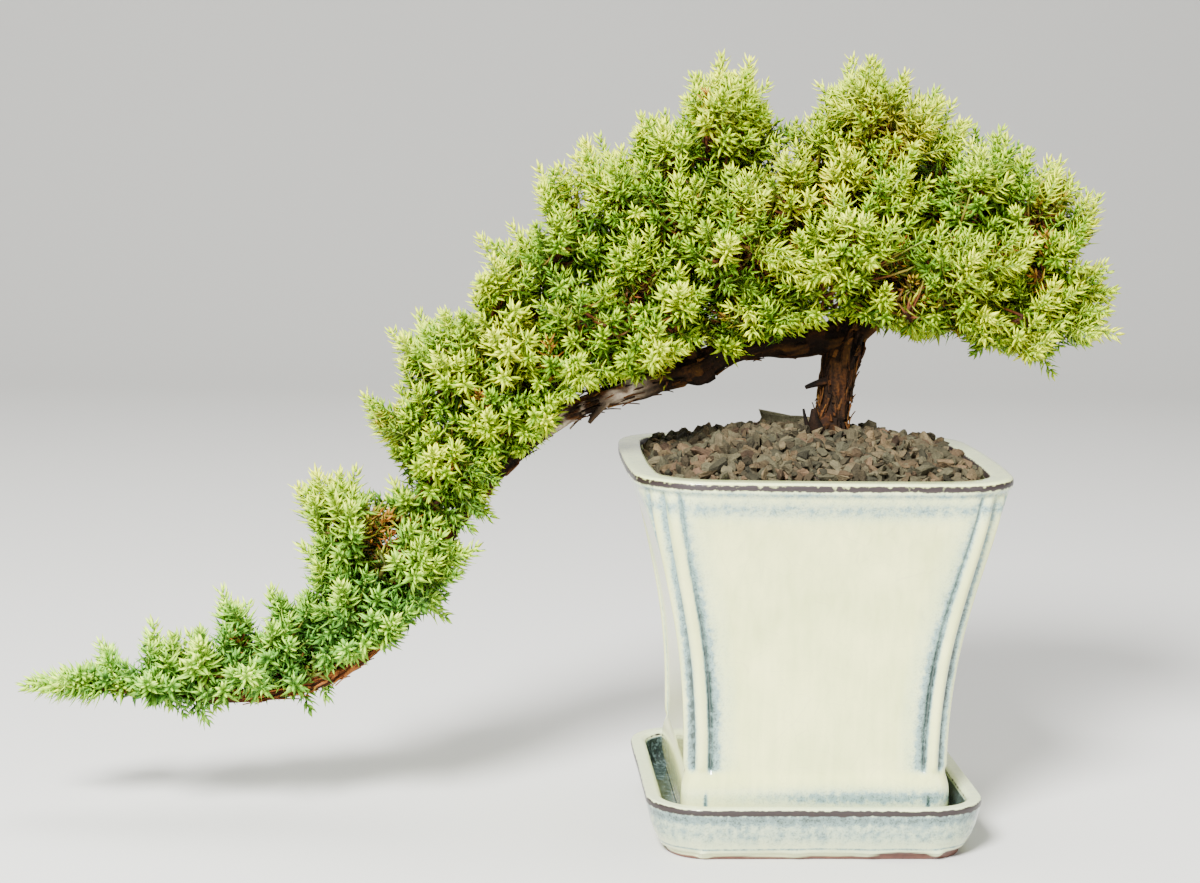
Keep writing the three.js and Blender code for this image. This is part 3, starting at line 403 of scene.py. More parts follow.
def skin(rings):
    """Points and faces of a closed skin over an array of rings, rows by columns by 3, with a
    pole at the middle of each end."""
    rows, columns, _ = rings.shape
    points = np.concatenate([rings.reshape(-1, 3), rings[0].mean(0)[None], rings[-1].mean(0)[None]])
    count = rows * columns
    faces = [grid_faces(rows, columns), fan_faces(0, columns, count, False)]
    faces.append(fan_faces(count - columns, columns, count + 1, True))
    return points, faces


def joined(parts):
    """Several (points, faces, marks) as one."""
    points = np.concatenate([p for p, _, _ in parts])
    starts = np.cumsum([0] + [len(p) for p, _, _ in parts[:-1]])
    faces = [f + start for (_, fs, _), start in zip(parts, starts) for f in fs]
    marks = {k: np.concatenate([m[k] for _, _, m in parts]) for k in parts[0][2]}
    return points, faces, marks


# ------------------------------------------------------------------ Materials

# Settings of the nodes that come up again and again, and a colour Mix's two colour sockets.
COLOUR = {"data_type": "RGBA"}
PLUS = {"operation": "ADD"}
PLUS_CLAMPED = {"operation": "ADD", "use_clamp": True}
TIMES = {"operation": "MULTIPLY"}
TIMES_CLAMPED = {"operation": "MULTIPLY", "use_clamp": True}
TIMES_PLUS = {"operation": "MULTIPLY_ADD"}
ONE, OTHER = 6, 7


def linear(code):
    """An sRGB hex colour as linear values with alpha 1."""
    parts = [int(code[i:i + 2], 16) / 255 for i in (1, 3, 5)]
    return (*(c / 12.92 if c <= 0.04045 else ((c + 0.055) / 1.055) ** 2.4 for c in parts), 1.0)


def outlet(source):
    """The socket that a source feeds from: itself, or a node's result, which is a colour
    Mix's third output and any other node's first."""
    if isinstance(source, bpy.types.NodeSocket):
        return source
    return source.outputs[2 if source.bl_idname == "ShaderNodeMix" else 0]


def add(tree, kind, settings=None, inputs=None, stops=()):
    """Adds a node. settings are its properties. inputs are its sockets by name or number:
    a number or colour to hold, or the node or socket that feeds it. stops are a ramp's places
    and colours."""
    node = tree.nodes.new("ShaderNode" + kind)
    for name, value in (settings or {}).items():
        setattr(node, name, value)
    for socket, value in (inputs or {}).items():
        if isinstance(value, (bpy.types.Node, bpy.types.NodeSocket)):
            tree.links.new(outlet(value), node.inputs[socket])
        else:
            node.inputs[socket].default_value = value
    for k, (place, code) in enumerate(stops):
        element = node.color_ramp.elements[k] if k < 2 else node.color_ramp.elements.new(place)
        element.position = place
        element.color = linear(code)
    return node


def new_material(name, roughness, ior=1.5, **constants):
    """An empty material with its shader and Object coordinates in metres."""
    material = bpy.data.materials.new(name)
    material.use_nodes = True
    tree = material.node_tree
    tree.nodes.clear()
    inputs = {"Roughness": roughness, "IOR": ior}
    inputs.update({k.replace("_", " "): v for k, v in constants.items()})
    shader = add(tree, "BsdfPrincipled", inputs=inputs)
    add(tree, "OutputMaterial", inputs={"Surface": shader})
    place = add(tree, "TexCoord").outputs["Object"]
    return material, tree, shader, place


def feed(tree, shader, socket, source):
    """Links a source to a socket of the shader."""
    tree.links.new(outlet(source), shader.inputs[socket])


def glaze_material(name, cream, streak, haze, blue, dark):
    """Stoneware under a glossy ash glaze, dipped and fired: cream where it is thin, breaking
    to a speckled blue-grey where it ran thick, and bare brown clay along the edges."""
    material, tree, shader, place = new_material(name, 0.2, 1.5, Coat_Weight=0.4, Coat_Roughness=0.05)
    thick, bare, clay = (add(tree, "Attribute", {"attribute_name": mark}).outputs["Fac"]
                         for mark in ("thick", "bare", "clay"))
    # Clouds 25 mm across, mottling of 2 mm, grains under 1 mm, and runs 3 mm wide drawn out
    # eight times downwards, all as in a glaze that flowed in the kiln.
    clouds = add(tree, "TexNoise", inputs={"Vector": place, "Scale": 40.0, "Detail": 3.0})
    mottle = add(tree, "TexNoise", inputs={"Vector": place, "Scale": 420.0, "Detail": 3.0})
    grains = add(tree, "TexNoise", inputs={"Vector": place, "Scale": 1300.0, "Detail": 1.0})
    stretched = add(tree, "Mapping", inputs={"Vector": place, "Scale": (1.0, 1.0, 0.12)})
    runs = add(tree, "TexNoise", inputs={"Vector": stretched, "Scale": 300.0, "Detail": 2.0})
    # Crackle: faint hairlines on the borders of cells about 9 mm across.
    cells = add(tree, "TexVoronoi", {"feature": "DISTANCE_TO_EDGE"}, {"Vector": place, "Scale": 110.0})
    hair = add(tree, "ValToRGB", inputs={"Fac": cells}, stops=[(0.0, "#ffffff"), (0.018, "#000000")])
    cloud = add(tree, "Math", TIMES_PLUS, {0: runs, 1: 0.6, 2: -0.3})
    cloud = add(tree, "Math", PLUS_CLAMPED, {0: cloud, 1: clouds})
    body = add(tree, "Mix", COLOUR, {"Factor": cloud, ONE: linear(cream), OTHER: linear(streak)})
    faint = add(tree, "Math", TIMES, {0: hair, 1: 0.16})
    body = add(tree, "Mix", COLOUR, {"Factor": faint, ONE: body, OTHER: linear("#a89a86")})
    # Where the glaze ran thick it is blue-grey under a milky veil, and speckled with grains.
    wobble = add(tree, "Math", TIMES_PLUS, {0: mottle, 1: 1.5, 2: 0.25})
    ragged = add(tree, "Math", TIMES_PLUS, {0: runs, 1: 0.8, 2: 0.6})
    depth = add(tree, "Math", TIMES, {0: thick, 1: wobble})
    depth = add(tree, "Math", TIMES_CLAMPED, {0: depth, 1: ragged})
    veil = add(tree, "Math", TIMES_CLAMPED, {0: depth, 1: 2.4})
    tints = add(tree, "ValToRGB", inputs={"Fac": depth}, stops=[(0.0, haze), (0.45, blue), (1.0, dark)])
    glaze = add(tree, "Mix", COLOUR, {"Factor": veil, ONE: body, OTHER: tints})
    spots = add(tree, "ValToRGB", inputs={"Fac": grains}, stops=[(0.52, "#000000"), (0.66, "#ffffff")])
    dotted = add(tree, "Math", TIMES_CLAMPED, {0: spots, 1: depth})
    glaze = add(tree, "Mix", COLOUR, {"Factor": dotted, ONE: glaze, OTHER: linear("#27332f")})
    # It is gone along the edges in a ragged brown line, and the foot is bare red-brown clay.
    edge = add(tree, "Math", TIMES_PLUS, {0: mottle, 1: 1.0, 2: -0.5})
    edge = add(tree, "Math", PLUS, {0: edge, 1: bare})
    edge = add(tree, "ValToRGB", inputs={"Fac": edge}, stops=[(0.4, "#000000"), (0.66, "#ffffff")])
    brown = add(tree, "Mix", COLOUR, {"Factor": mottle, ONE: linear("#0b0304"), OTHER: linear("#251111")})
    edged = add(tree, "Mix", COLOUR, {"Factor": edge, ONE: glaze, OTHER: brown})
    foot = add(tree, "Mix", COLOUR, {"Factor": mottle, ONE: linear("#3d2018"), OTHER: linear("#6a3a28")})
    feed(tree, shader, "Base Color", add(tree, "Mix", COLOUR, {"Factor": clay, ONE: edged, OTHER: foot}))
    dull = add(tree, "Math", {"operation": "MAXIMUM"}, {0: edge, 1: clay})
    rough = add(tree, "MapRange", inputs={"Value": dull, "To Min": 0.14, "To Max": 0.6})
    feed(tree, shader, "Roughness", rough)
    # Fired glaze is never quite level: ripples of a few millimetres under the gloss.
    ripple = add(tree, "Bump", inputs={"Strength": 0.1, "Distance": 0.0005, "Height": mottle})
    feed(tree, shader, "Normal", ripple)
    return material


def bark_material():
    """Old juniper bark, weathered: grey-brown strips that peel off rust-red inner bark, and
    bleached grey wood where it died and was carved back."""
    material, tree, shader, place = new_material("juniper_bark", 0.88, 1.45, Specular_IOR_Level=0.16)
    ridge, rust, bleached = (add(tree, "Attribute", {"attribute_name": mark}).outputs["Fac"]
                             for mark in ("ridge", "rust", "bleached"))
    # Fibres about 1 mm wide, and patches of inner bark about 8 mm across.
    grain = add(tree, "TexNoise", inputs={"Vector": place, "Scale": 900.0, "Detail": 4.0})
    patch = add(tree, "TexNoise", inputs={"Vector": place, "Scale": 130.0, "Detail": 3.0})
    height = add(tree, "Math", TIMES_PLUS, {0: grain, 1: 0.45, 2: -0.22})
    height = add(tree, "Math", PLUS, {0: height, 1: ridge})
    grey = add(tree, "ValToRGB", inputs={"Fac": height}, stops=[
        (0.1, "#050301"), (0.42, "#180c03"), (0.68, "#3b2409"), (0.92, "#70501f")])
    red = add(tree, "ValToRGB", inputs={"Fac": height}, stops=[
        (0.1, "#0a0402"), (0.42, "#2c1608"), (0.7, "#613215"), (0.95, "#a0622f")])
    dead = add(tree, "ValToRGB", inputs={"Fac": height}, stops=[
        (0.15, "#4b3c31"), (0.5, "#8c7c6c"), (0.85, "#b0a493")])
    patchy = add(tree, "Math", TIMES_PLUS, {0: patch, 1: 1.6, 2: -0.8})
    patchy = add(tree, "Math", PLUS_CLAMPED, {0: patchy, 1: rust})
    colour = add(tree, "Mix", COLOUR, {"Factor": patchy, ONE: grey, OTHER: red})
    feed(tree, shader, "Base Color", add(tree, "Mix", COLOUR, {"Factor": bleached, ONE: colour, OTHER: dead}))
    relief = add(tree, "Bump", inputs={"Strength": 0.7, "Distance": 0.0007, "Height": grain})
    feed(tree, shader, "Normal", relief)
    return material


def needle_material():
    """Living juniper needles with a waxy skin: dark green inside the tree, older there and
    also painted in shade, yellow-green and pale at the growing tips, golden where they ripen,
    bluer on the low branch, and rust-red where they died."""
    material, tree, shader, place = new_material("juniper_needles", 0.5, 1.45, Specular_IOR_Level=0.25)
    freshness_and_shade, cool, dry, gold = (add(tree, "Attribute", {"attribute_name": mark}).outputs["Fac"]
                              for mark in ("freshness_and_shade", "cool", "dry", "gold"))
    # Shoots within about 17 mm of each other age alike.
    tone = add(tree, "TexNoise", inputs={"Vector": place, "Scale": 60.0, "Detail": 2.0})
    shift = add(tree, "Math", TIMES_PLUS, {0: tone, 1: 0.3, 2: -0.15})
    # How young the needles look, darkened too by the painted shade inside the foliage and in its crevices.
    age_and_shade = add(tree, "Math", PLUS_CLAMPED, {0: freshness_and_shade, 1: shift})
    warm = add(tree, "ValToRGB", inputs={"Fac": age_and_shade}, stops=[
        (0.0, "#335402"), (0.28, "#5f8c03"), (0.55, "#a2c002"), (0.8, "#cbdc00"), (1.0, "#e9f104")])
    blue = add(tree, "ValToRGB", inputs={"Fac": age_and_shade}, stops=[
        (0.0, "#2b5214"), (0.28, "#4a8028"), (0.55, "#78b034"), (0.8, "#abd93a"), (1.0, "#d2f454")])
    ripe = add(tree, "ValToRGB", inputs={"Fac": age_and_shade}, stops=[
        (0.0, "#685c03"), (0.35, "#a69404"), (0.7, "#d6cd0c"), (1.0, "#f6f238")])
    dead = add(tree, "ValToRGB", inputs={"Fac": age_and_shade}, stops=[
        (0.0, "#40200a"), (0.35, "#804816"), (0.7, "#a66c22"), (1.0, "#c4933a")])
    colour = add(tree, "Mix", COLOUR, {"Factor": cool, ONE: warm, OTHER: blue})
    colour = add(tree, "Mix", COLOUR, {"Factor": gold, ONE: colour, OTHER: ripe})
    feed(tree, shader, "Base Color", add(tree, "Mix", COLOUR, {"Factor": dry, ONE: colour, OTHER: dead}))
    return material


def twig_material():
    """Young juniper twigs: red-brown bark that turns green towards the growing end."""
    material, tree, shader, place = new_material("juniper_twigs", 0.75, 1.45, Specular_IOR_Level=0.2)
    young = add(tree, "Attribute", {"attribute_name": "young"}).outputs["Fac"]
    # Scales of bark between 1 and 2 mm long.
    grain = add(tree, "TexNoise", inputs={"Vector": place, "Scale": 700.0, "Detail": 3.0})
    value = add(tree, "Math", TIMES_PLUS, {0: grain, 1: 0.4, 2: -0.2})
    value = add(tree, "Math", PLUS_CLAMPED, {0: value, 1: young})
    feed(tree, shader, "Base Color", add(tree, "ValToRGB", inputs={"Fac": value}, stops=[
        (0.0, "#2a1408"), (0.35, "#5c3214"), (0.6, "#6f6a20"), (1.0, "#7f9c3c")]))
    return material


def gravel_material():
    """Crushed stone, broken and dusty: greys, tans and a few pinkish browns, matt."""
    material, tree, shader, place = new_material("crushed_gravel", 0.93, 1.5, Specular_IOR_Level=0.2)
    # light is each stone's own brightness, at random, and on the flat stone a painted light.
    tone, light = (add(tree, "Attribute", {"attribute_name": mark}).outputs["Fac"]
                   for mark in ("tone", "light"))
    # Crystals of 0.7 mm, and veins and broken faces about 3 mm apart.
    grain = add(tree, "TexNoise", inputs={"Vector": place, "Scale": 1400.0, "Detail": 4.0})
    veins = add(tree, "TexNoise", inputs={"Vector": place, "Scale": 350.0, "Detail": 3.0})
    hue = add(tree, "ValToRGB", inputs={"Fac": tone}, stops=[
        (0.0, "#55523f"), (0.3, "#625c44"), (0.55, "#6b6047"), (0.78, "#776446"), (0.95, "#6b543f")])
    shade = add(tree, "Math", TIMES_PLUS, {0: grain, 1: 0.7, 2: 0.55})
    shade = add(tree, "Math", TIMES, {0: shade, 1: light})
    vein = add(tree, "Math", TIMES_PLUS, {0: veins, 1: 1.3, 2: 0.35})
    shade = add(tree, "Math", TIMES, {0: shade, 1: vein})
    feed(tree, shader, "Base Color", add(
        tree, "Mix", {**COLOUR, "blend_type": "MULTIPLY"}, {"Factor": 1.0, ONE: hue, OTHER: shade}))
    crags = add(tree, "Math", TIMES_PLUS, {0: grain, 1: 0.4, 2: veins})
    relief = add(tree, "Bump", inputs={"Strength": 0.8, "Distance": 0.0012, "Height": crags})
    feed(tree, shader, "Normal", relief)
    return material


def grit_material(name, dark, pale, roughness, scale):
    """Fine grit or moulded plastic in two tones, matt: scale is grains to the metre."""
    material, tree, shader, place = new_material(name, roughness)
    grain = add(tree, "TexNoise", inputs={"Vector": place, "Scale": scale, "Detail": 4.0})
    feed(tree, shader, "Base Color", add(
        tree, "ValToRGB", inputs={"Fac": grain}, stops=[(0.35, dark), (0.65, pale)]))
    relief = add(tree, "Bump", inputs={"Strength": 0.4, "Distance": 0.0005, "Height": grain})
    feed(tree, shader, "Normal", relief)
    return material


pot_glaze = glaze_material("stoneware_ash_glaze", "#f6f5aa", "#c3cd84", "#bfd8b8", "#7f9a94", "#33433f")
# The saucer's dark tint is also the painted shade inside it, under the rim.
saucer_glaze = glaze_material("stoneware_pale_glaze", "#e6e6ac", "#c6d6ac", "#a9c2a8", "#768d88", "#26302b")
juniper_bark = bark_material()
juniper_needles = needle_material()
juniper_twigs = twig_material()
crushed_gravel = gravel_material()
potting_grit = grit_material("potting_grit", "#120c07", "#3c2e20", 0.97, 900.0)
moulded_mesh = grit_material("moulded_polypropylene", "#27302b", "#35403a", 0.55, 500.0)

# ------------------------------------------------------------------ Pot and saucer


def square_rings(height, half, corner, bow, gain, relief):
    """Rings of a square with round corners, one row for each height. Stations are distances
    along the outline from a corner's diagonal: on the arc the point is the arc's centre plus
    radius times the direction, past it the outline runs straight, and the corner's relief is
    added to the radius. Between corners the side is straight plus a parabola of bow."""
    height, half, corner, bow, gain = (
        np.asarray(values, float)[:, None] for values in (height, half, corner, bow, gain))
    rows = len(height)
    near = np.repeat(np.arange(-RELIEF_END, RELIEF_END + 0.01, STATION)[None], rows, 0)
    half_arc = corner * math.pi / 4
    end = np.maximum(RELIEF_END + 1, half_arc)
    after = RELIEF_END + np.arange(1, 7) / 6 * (end - RELIEF_END)
    distance = np.concatenate([-after[:, ::-1], near, after], 1)
    on_arc = np.clip(distance, -half_arc, half_arc)
    angle = math.pi / 4 + on_arc / corner
    reach = corner + relief(np.abs(distance)) * gain
    past = distance - on_arc
    x = half - corner + reach * np.cos(angle) - past * np.sin(angle)
    y = half - corner + reach * np.sin(angle) + past * np.cos(angle)
    share = (np.arange(1, 15) / 15)[None, :]
    flat_x = x[:, -1:] + (-x[:, -1:] - x[:, -1:]) * share
    flat_y = y[:, -1:] + bow * 4 * share * (1 - share)
    side_x = np.concatenate([x, flat_x], 1)
    side_y = np.concatenate([y, flat_y], 1)
    side_distance = np.concatenate([np.abs(distance), np.full_like(flat_x, FAR_FROM_CORNER)], 1)
    turns = [(side_x, side_y), (-side_y, side_x), (-side_x, -side_y), (side_y, -side_x)]
    xs = np.concatenate([a for a, _ in turns], 1)
    ys = np.concatenate([b for _, b in turns], 1)
    zs = np.repeat(height, xs.shape[1], 1)
    return np.stack([xs, ys, zs], -1), np.tile(side_distance, (1, 4))


def corner_relief(distance):
    """Height of a corner over its plain arc: a groove on the diagonal and one on each side,
    with a rounded bead between every two."""
    return (-1.7 * bump(distance, 0, 1.2) + 1.1 * bump(distance, 4.2, 2.0)
            - 1.5 * bump(distance, GROOVE, 0.9))


def flat_relief(distance):
    """No beads."""
    return 0 * distance


def pot_rows():
    """The pot's skin as rows from under its base to its floor inside: the height, half width,
    corner radius, bow of the sides and strength of the corner relief of each. The panels
    flare from the waist by the height to the power FLARE_POWER. Also how many rows lie below
    the rim's edge."""
    band_top = POT_RIM - RIM_BAND
    lift = np.concatenate([np.linspace(0, 26, 27), np.linspace(27, band_top - POT_BASE, 74)])
    z = POT_BASE + lift
    part = np.clip((z - POT_BAND) / (band_top - POT_BAND), 0, 1)
    panel = WAIST_HALF + (RIM_HALF - 1.0 - WAIST_HALF) * part**FLARE_POWER
    band = table_curve(BAND_PROFILE, z)
    half = np.where(z < POT_BAND + 3, np.maximum(band, panel), panel)
    gain = smoothstep(32.5, 36.5, z) * (1 - smoothstep(band_top - 2.5, band_top + 0.5, z))
    edge_z, edge_half, edge_corner = np.array(RIM_EDGE).T
    inside_z = np.linspace(152.5, 18, 22)
    level = 0 * inside_z
    rows = [
        np.concatenate([z, edge_z, inside_z]),
        np.concatenate([half, edge_half, table_curve(HOLLOW_PROFILE, inside_z)]),
        np.concatenate([7 + 23 * part**6, edge_corner, table_curve(HOLLOW_CORNERS, inside_z)]),
        np.concatenate([1.6 * part**4, np.full(len(edge_z), 1.6), level]),
        np.concatenate([gain, 0 * edge_z, level]),
    ]
    return rows, len(z)


def pot_piece():
    """The pot as one closed skin: from the drain hole out under the base, up the rounded
    band and the flared panels, over the flat rim, down the hollow and back to the hole."""
    wall, below_edge = pot_rows()
    rings, distance = square_rings(*wall, corner_relief)
    # Hand-pressed clay: the walls wander by a few tenths of a millimetre.
    rings = rings + unit(rings * LEVEL) * 0.3 * noise(rings, 38.0, seed=5)[..., None]
    hole = unit(rings[0] * LEVEL) * DRAIN_RADIUS
    under = np.stack([hole + UP * (POT_FLOOR - 0.4), hole + UP * POT_BASE, rings[0] * [0.97, 0.97, 1]])
    floor = np.stack([rings[-1] * [0.96, 0.96, 0] + UP * POT_FLOOR, hole + UP * POT_FLOOR])
    ends = (len(under), len(floor))
    # right rises from the left of the pot to its right: it makes the foot's haze partly a painted shade on
    # the side away from the key light.
    right = np.pad(smoothstep(-45, 10, rings[..., 0]), (ends, (0, 0)), mode="edge")
    distance = np.pad(distance, (ends, (0, 0)), mode="edge")
    rings = np.concatenate([under, rings, floor])
    rows, columns, _ = rings.shape
    row = np.arange(rows)[:, None]
    height = np.pad(wall[0], ends)[:, None] + np.zeros(columns)
    edge_row = len(under) + below_edge
    outside = row < edge_row + 4
    # The glaze pooled in the grooves, sharply against the beads and thinning over the panel.
    past = np.maximum(distance - GROOVE, 0)
    grooves = np.where(distance < GROOVE, bump(distance, GROOVE, 1.1), np.exp(-past / 3.2))
    grooves = np.maximum(grooves, 0.85 * bump(distance, 0, 2.0))
    relief_zone = np.pad(wall[4], ends)[:, None]
    thick = grooves * relief_zone * (0.62 + 0.5 * smoothstep(130, 60, height))
    below_rim = 0.38 * bump(height, 144.5, 3.8) + 0.36 * bump(height, 150.9, 1.4)
    # It also gathers in a haze round the foot and where the grooves end. The haze round the foot is partly a
    # painted shade: stronger to the right, the side away from the light.
    foot = 0.5 * bump(height, 24.0, 3.6) * (0.25 + 0.75 * right)
    foot = foot + 0.9 * bump(distance, GROOVE, 0.7) * bump(height, 22, 3)
    thick = np.where(outside, np.maximum(np.maximum(thick, below_rim), foot), 0.12)
    # It broke to brown along the rim's outer edge, and over three rows at its inner edge.
    inner_edge = edge_row + 9
    rim_rows = np.zeros((rows, 1))
    rim_rows[inner_edge:inner_edge + 3, 0] = [0.5, 1, 1]
    bare = np.maximum(np.where(outside, bump(height, 153.6, 1.5), 0.0), rim_rows)
    clay = (height < POT_BASE + 0.7) | (row > inner_edge + 4)
    faces = [grid_faces(rows, columns, wrap_rows=True)]
    mesh_piece("glazed_pot", rings.reshape(-1, 3), faces, pot_glaze,
               ["pot"], marks={"thick": thick, "bare": bare, "clay": clay})


def saucer_piece():
    """The saucer as one closed skin, from the middle of its underside round the rim to the
    middle of its floor. The glaze ends above a bare clay foot in a wavy line with drips:
    bells added to the outside where drops of glaze set as they ran."""
    count = len(SAUCER_PROFILE)
    height, half = through(SAUCER_PROFILE, np.linspace(0, count - 1, 4 * count)).T
    height = np.maximum(height, 0)
    corner = np.maximum(SAUCER_CORNER - (SAUCER_HALF - half), 3)
    corner = np.where(half < 45, half * 0.4, corner)
    zero = 0 * height
    rings, _ = square_rings(height, half, np.maximum(corner, 6), zero, zero, flat_relief)
    outside = (np.arange(len(height)) < 60)[:, None]
    wave = 1.3 * noise(rings * LEVEL, 11.0, seed=3)
    flow = bump(rings[..., 2], 3.2 + wave, 1.5) * np.maximum(noise(rings * LEVEL, 7.0, seed=9), 0)
    front = rings[..., 1] < -50
    drips = sum(bump(rings[..., 0], x, width) * bump(rings[..., 2], 2.6, 1.8) * front
                for x, width in DRIPS)
    outward = unit(rings * LEVEL)
    swell = (0.8 * flow + 2.0 * drips) * outside
    wander = (noise(rings, 30.0, seed=8) * outside)[..., None]
    rings = rings + outward * swell[..., None] + outward * 0.25 * wander
    z = rings[..., 2]
    near_rim = 0.52 * bump(z, 18.6, 2.6) + 0.34 * bump(z, 12.0, 5.0)
    pooled = 0.45 * bump(z, 5.2 + 0.3 * wave, 0.5)
    # Inside, under the rim, the glaze is made dark as if it ran thick: a painted shade over the saucer's
    # inner wall and floor.
    thick = np.where(outside, np.maximum(near_rim, pooled), np.where(z < 20.8, 0.9, 0.06))
    bare = np.where(outside, bump(z, 21.4, 1.5), 0.6 * bump(z, 21.6, 0.6))
    # The glaze ends higher on the right of the front, between two drips.
    end = 1.5 + 0.5 * wave + 2.2 * front * smoothstep(12, 22, rings[..., 0]) - 3.0 * drips
    clay = np.where(outside, smoothstep(end + 0.3, end - 0.3, z) * (z < 6), 0)
    points, faces = skin(rings)
    # The two poles, under the foot and on the floor: only the lower one is bare clay.
    marks = {name: np.append(values.reshape(-1), [lower_pole, 0]) for name, values, lower_pole in
             (("thick", thick, 0), ("bare", bare, 0), ("clay", clay, 1))}
    mesh_piece("glazed_saucer", points, faces, saucer_glaze, ["saucer"], marks=marks)


# ------------------------------------------------------------------ Soil and gravel


def mound(x, y):
    """Height of the gravel: the edge plus a rise that falls off as one minus the square of
    the distance, along x and along y."""
    across = np.maximum(1 - (x / MOUND_REACH) ** 2, 0)
    along = np.maximum(1 - (y / MOUND_REACH) ** 2, 0)
    return MOUND_EDGE + MOUND_RISE * across * along


def inside_rim(x, y, margin):
    """Whether a point lies inside the pot's hollow at gravel height, less a margin."""
    over = np.stack([np.abs(x), np.abs(y)], -1) - (HOLLOW_HALF - margin - HOLLOW_CORNER)
    return np.linalg.norm(np.maximum(over, 0), axis=-1) < HOLLOW_CORNER


def cube_surface():
    """The 26 points of a cube with three rows of points a side, and its 24 quads."""
    cube = np.array(list(np.ndindex(3, 3, 3)), float) - 1
    cube = cube[np.abs(cube).max(1) == 1]
    index = {tuple(point): k for k, point in enumerate(cube)}
    quads = []
    for axis, side, u, v in np.ndindex(3, 2, 2, 2):
        side = 2 * side - 1
        quad = [index[tuple(np.roll((side, u + du - 1, v + dv - 1), axis))]
                for du, dv in ((0, 0), (1, 0), (1, 1), (0, 1))]
        quads.append(quad[::side])
    return cube, np.array(quads)


def gravel_spots(rng):
    """Where stones lie, and how large they are in the last column: jittered lattices over
    the mound, two close ones and a sparse one on top, clear of the rim and of the trunk."""
    spots = []
    for pitch, drop, size in GRAVEL_LAYERS:
        side = int(MOUND_REACH / pitch) + 1
        i, j = np.meshgrid(np.arange(-side, side + 1), np.arange(-side, side + 1), indexing="ij")
        x = ((i + 0.5 * (j % 2)) * pitch).ravel()
        y = (j * pitch * 0.87).ravel()
        x = x + rng.uniform(-0.38, 0.38, len(x)) * pitch
        y = y + rng.uniform(-0.38, 0.38, len(y)) * pitch
        z = mound(x, y) - drop + rng.uniform(-0.6, 0.6, len(x))
        spots.append(np.stack([x, y, z, np.full(len(x), size)], 1))
    spots = np.concatenate(spots)
    clear = np.hypot(spots[:, 0] - TRUNK_FOOT[0], spots[:, 1] - TRUNK_FOOT[1]) > TRUNK_FOOT[2]
    return spots[inside_rim(spots[:, 0], spots[:, 1], 1.6) & clear]


def gravel_piece():
    """Crushed stones: each one a cube with three rows of points a side, blown out to a ball,
    cut by random planes, every point past a plane being moved back onto it, and stretched.
    One larger flat stone keeps the cube's edges, roughened by noise."""
    rng = np.random.default_rng(GRAVEL_SEED)
    cube, quads = cube_surface()
    spots = gravel_spots(rng)
    count, corners = len(spots), len(cube)
    stone = np.repeat(unit(cube)[None], count, 0)
    for _ in range(7):
        direction = unit(rng.normal(size=(count, 1, 3)))
        limit = rng.uniform(0.3, 0.7, (count, 1, 1))
        past = np.maximum((stone * direction).sum(-1, keepdims=True) - limit, 0)
        stone = stone - past * direction
    sizes = rng.uniform(0.65, 1.35, (count, 1, 1)) * rng.uniform(0.75, 1.3, (count, 1, 3)) * STONE_HALF
    stone = stone * sizes * spots[:, None, 3:4]
    turn = unit(rng.normal(size=(count, 3)) * [1, 1, 1.6])
    side = unit(np.cross(turn, rng.normal(size=(count, 3))))
    third = np.cross(turn, side)
    stone = (stone[..., 0:1] * side[:, None] + stone[..., 1:2] * third[:, None]
             + stone[..., 2:3] * turn[:, None])
    roughness = noise(cube * 3.0, 1.3, seed=4)[:, None] * cube * [1.6, 0.6, 1.4]
    stone[0] = cube * SLAB_HALF + roughness
    stone[0, :, 2] -= 0.13 * stone[0, :, 0]
    spots[0, :3] = SLAB
    points = (stone + spots[:, None, :3]).reshape(-1, 3)
    faces = (quads[None] + (np.arange(count) * corners)[:, None, None]).reshape(-1, 4)
    tone = np.clip(rng.beta(1.6, 1.7, count), 0, 1)
    light = rng.uniform(0.2, 0.74, count)
    # The flat stone gets the highest light value, 1.5: a painted light on it against the shadow that the
    # crown casts over the back of the mound.
    tone[0], light[0] = 0.1, 1.5
    mesh_piece("gravel_stones", points, [faces], crushed_gravel, ["gravel"], smooth=False,
               marks={"tone": np.repeat(tone, corners), "light": np.repeat(light, corners)})


def grit_bed_piece():
    """The dusty grit between the stones: a skin a little below the mound, with noise of a
    few millimetres, closed by a flat underside."""
    share = np.linspace(0.02, 1, 34)[::-1, None, None]
    ring, _ = square_rings([0.0], [GRIT_HALF], [HOLLOW_CORNER], [0.0], [0.0], flat_relief)
    top = ring * share
    height = mound(top[..., 0], top[..., 1]) - GRIT_DROP
    top = top * LEVEL + UP * (height + 0.8 * noise(top, 2.2, seed=14))[..., None]
    low = top[:1] * LEVEL + UP * GRIT_BASE
    points, faces = skin(np.concatenate([low * [0.02, 0.02, 1], low, top]))
    mesh_piece("grit_bed", points, faces, potting_grit)


# ------------------------------------------------------------------ Wood


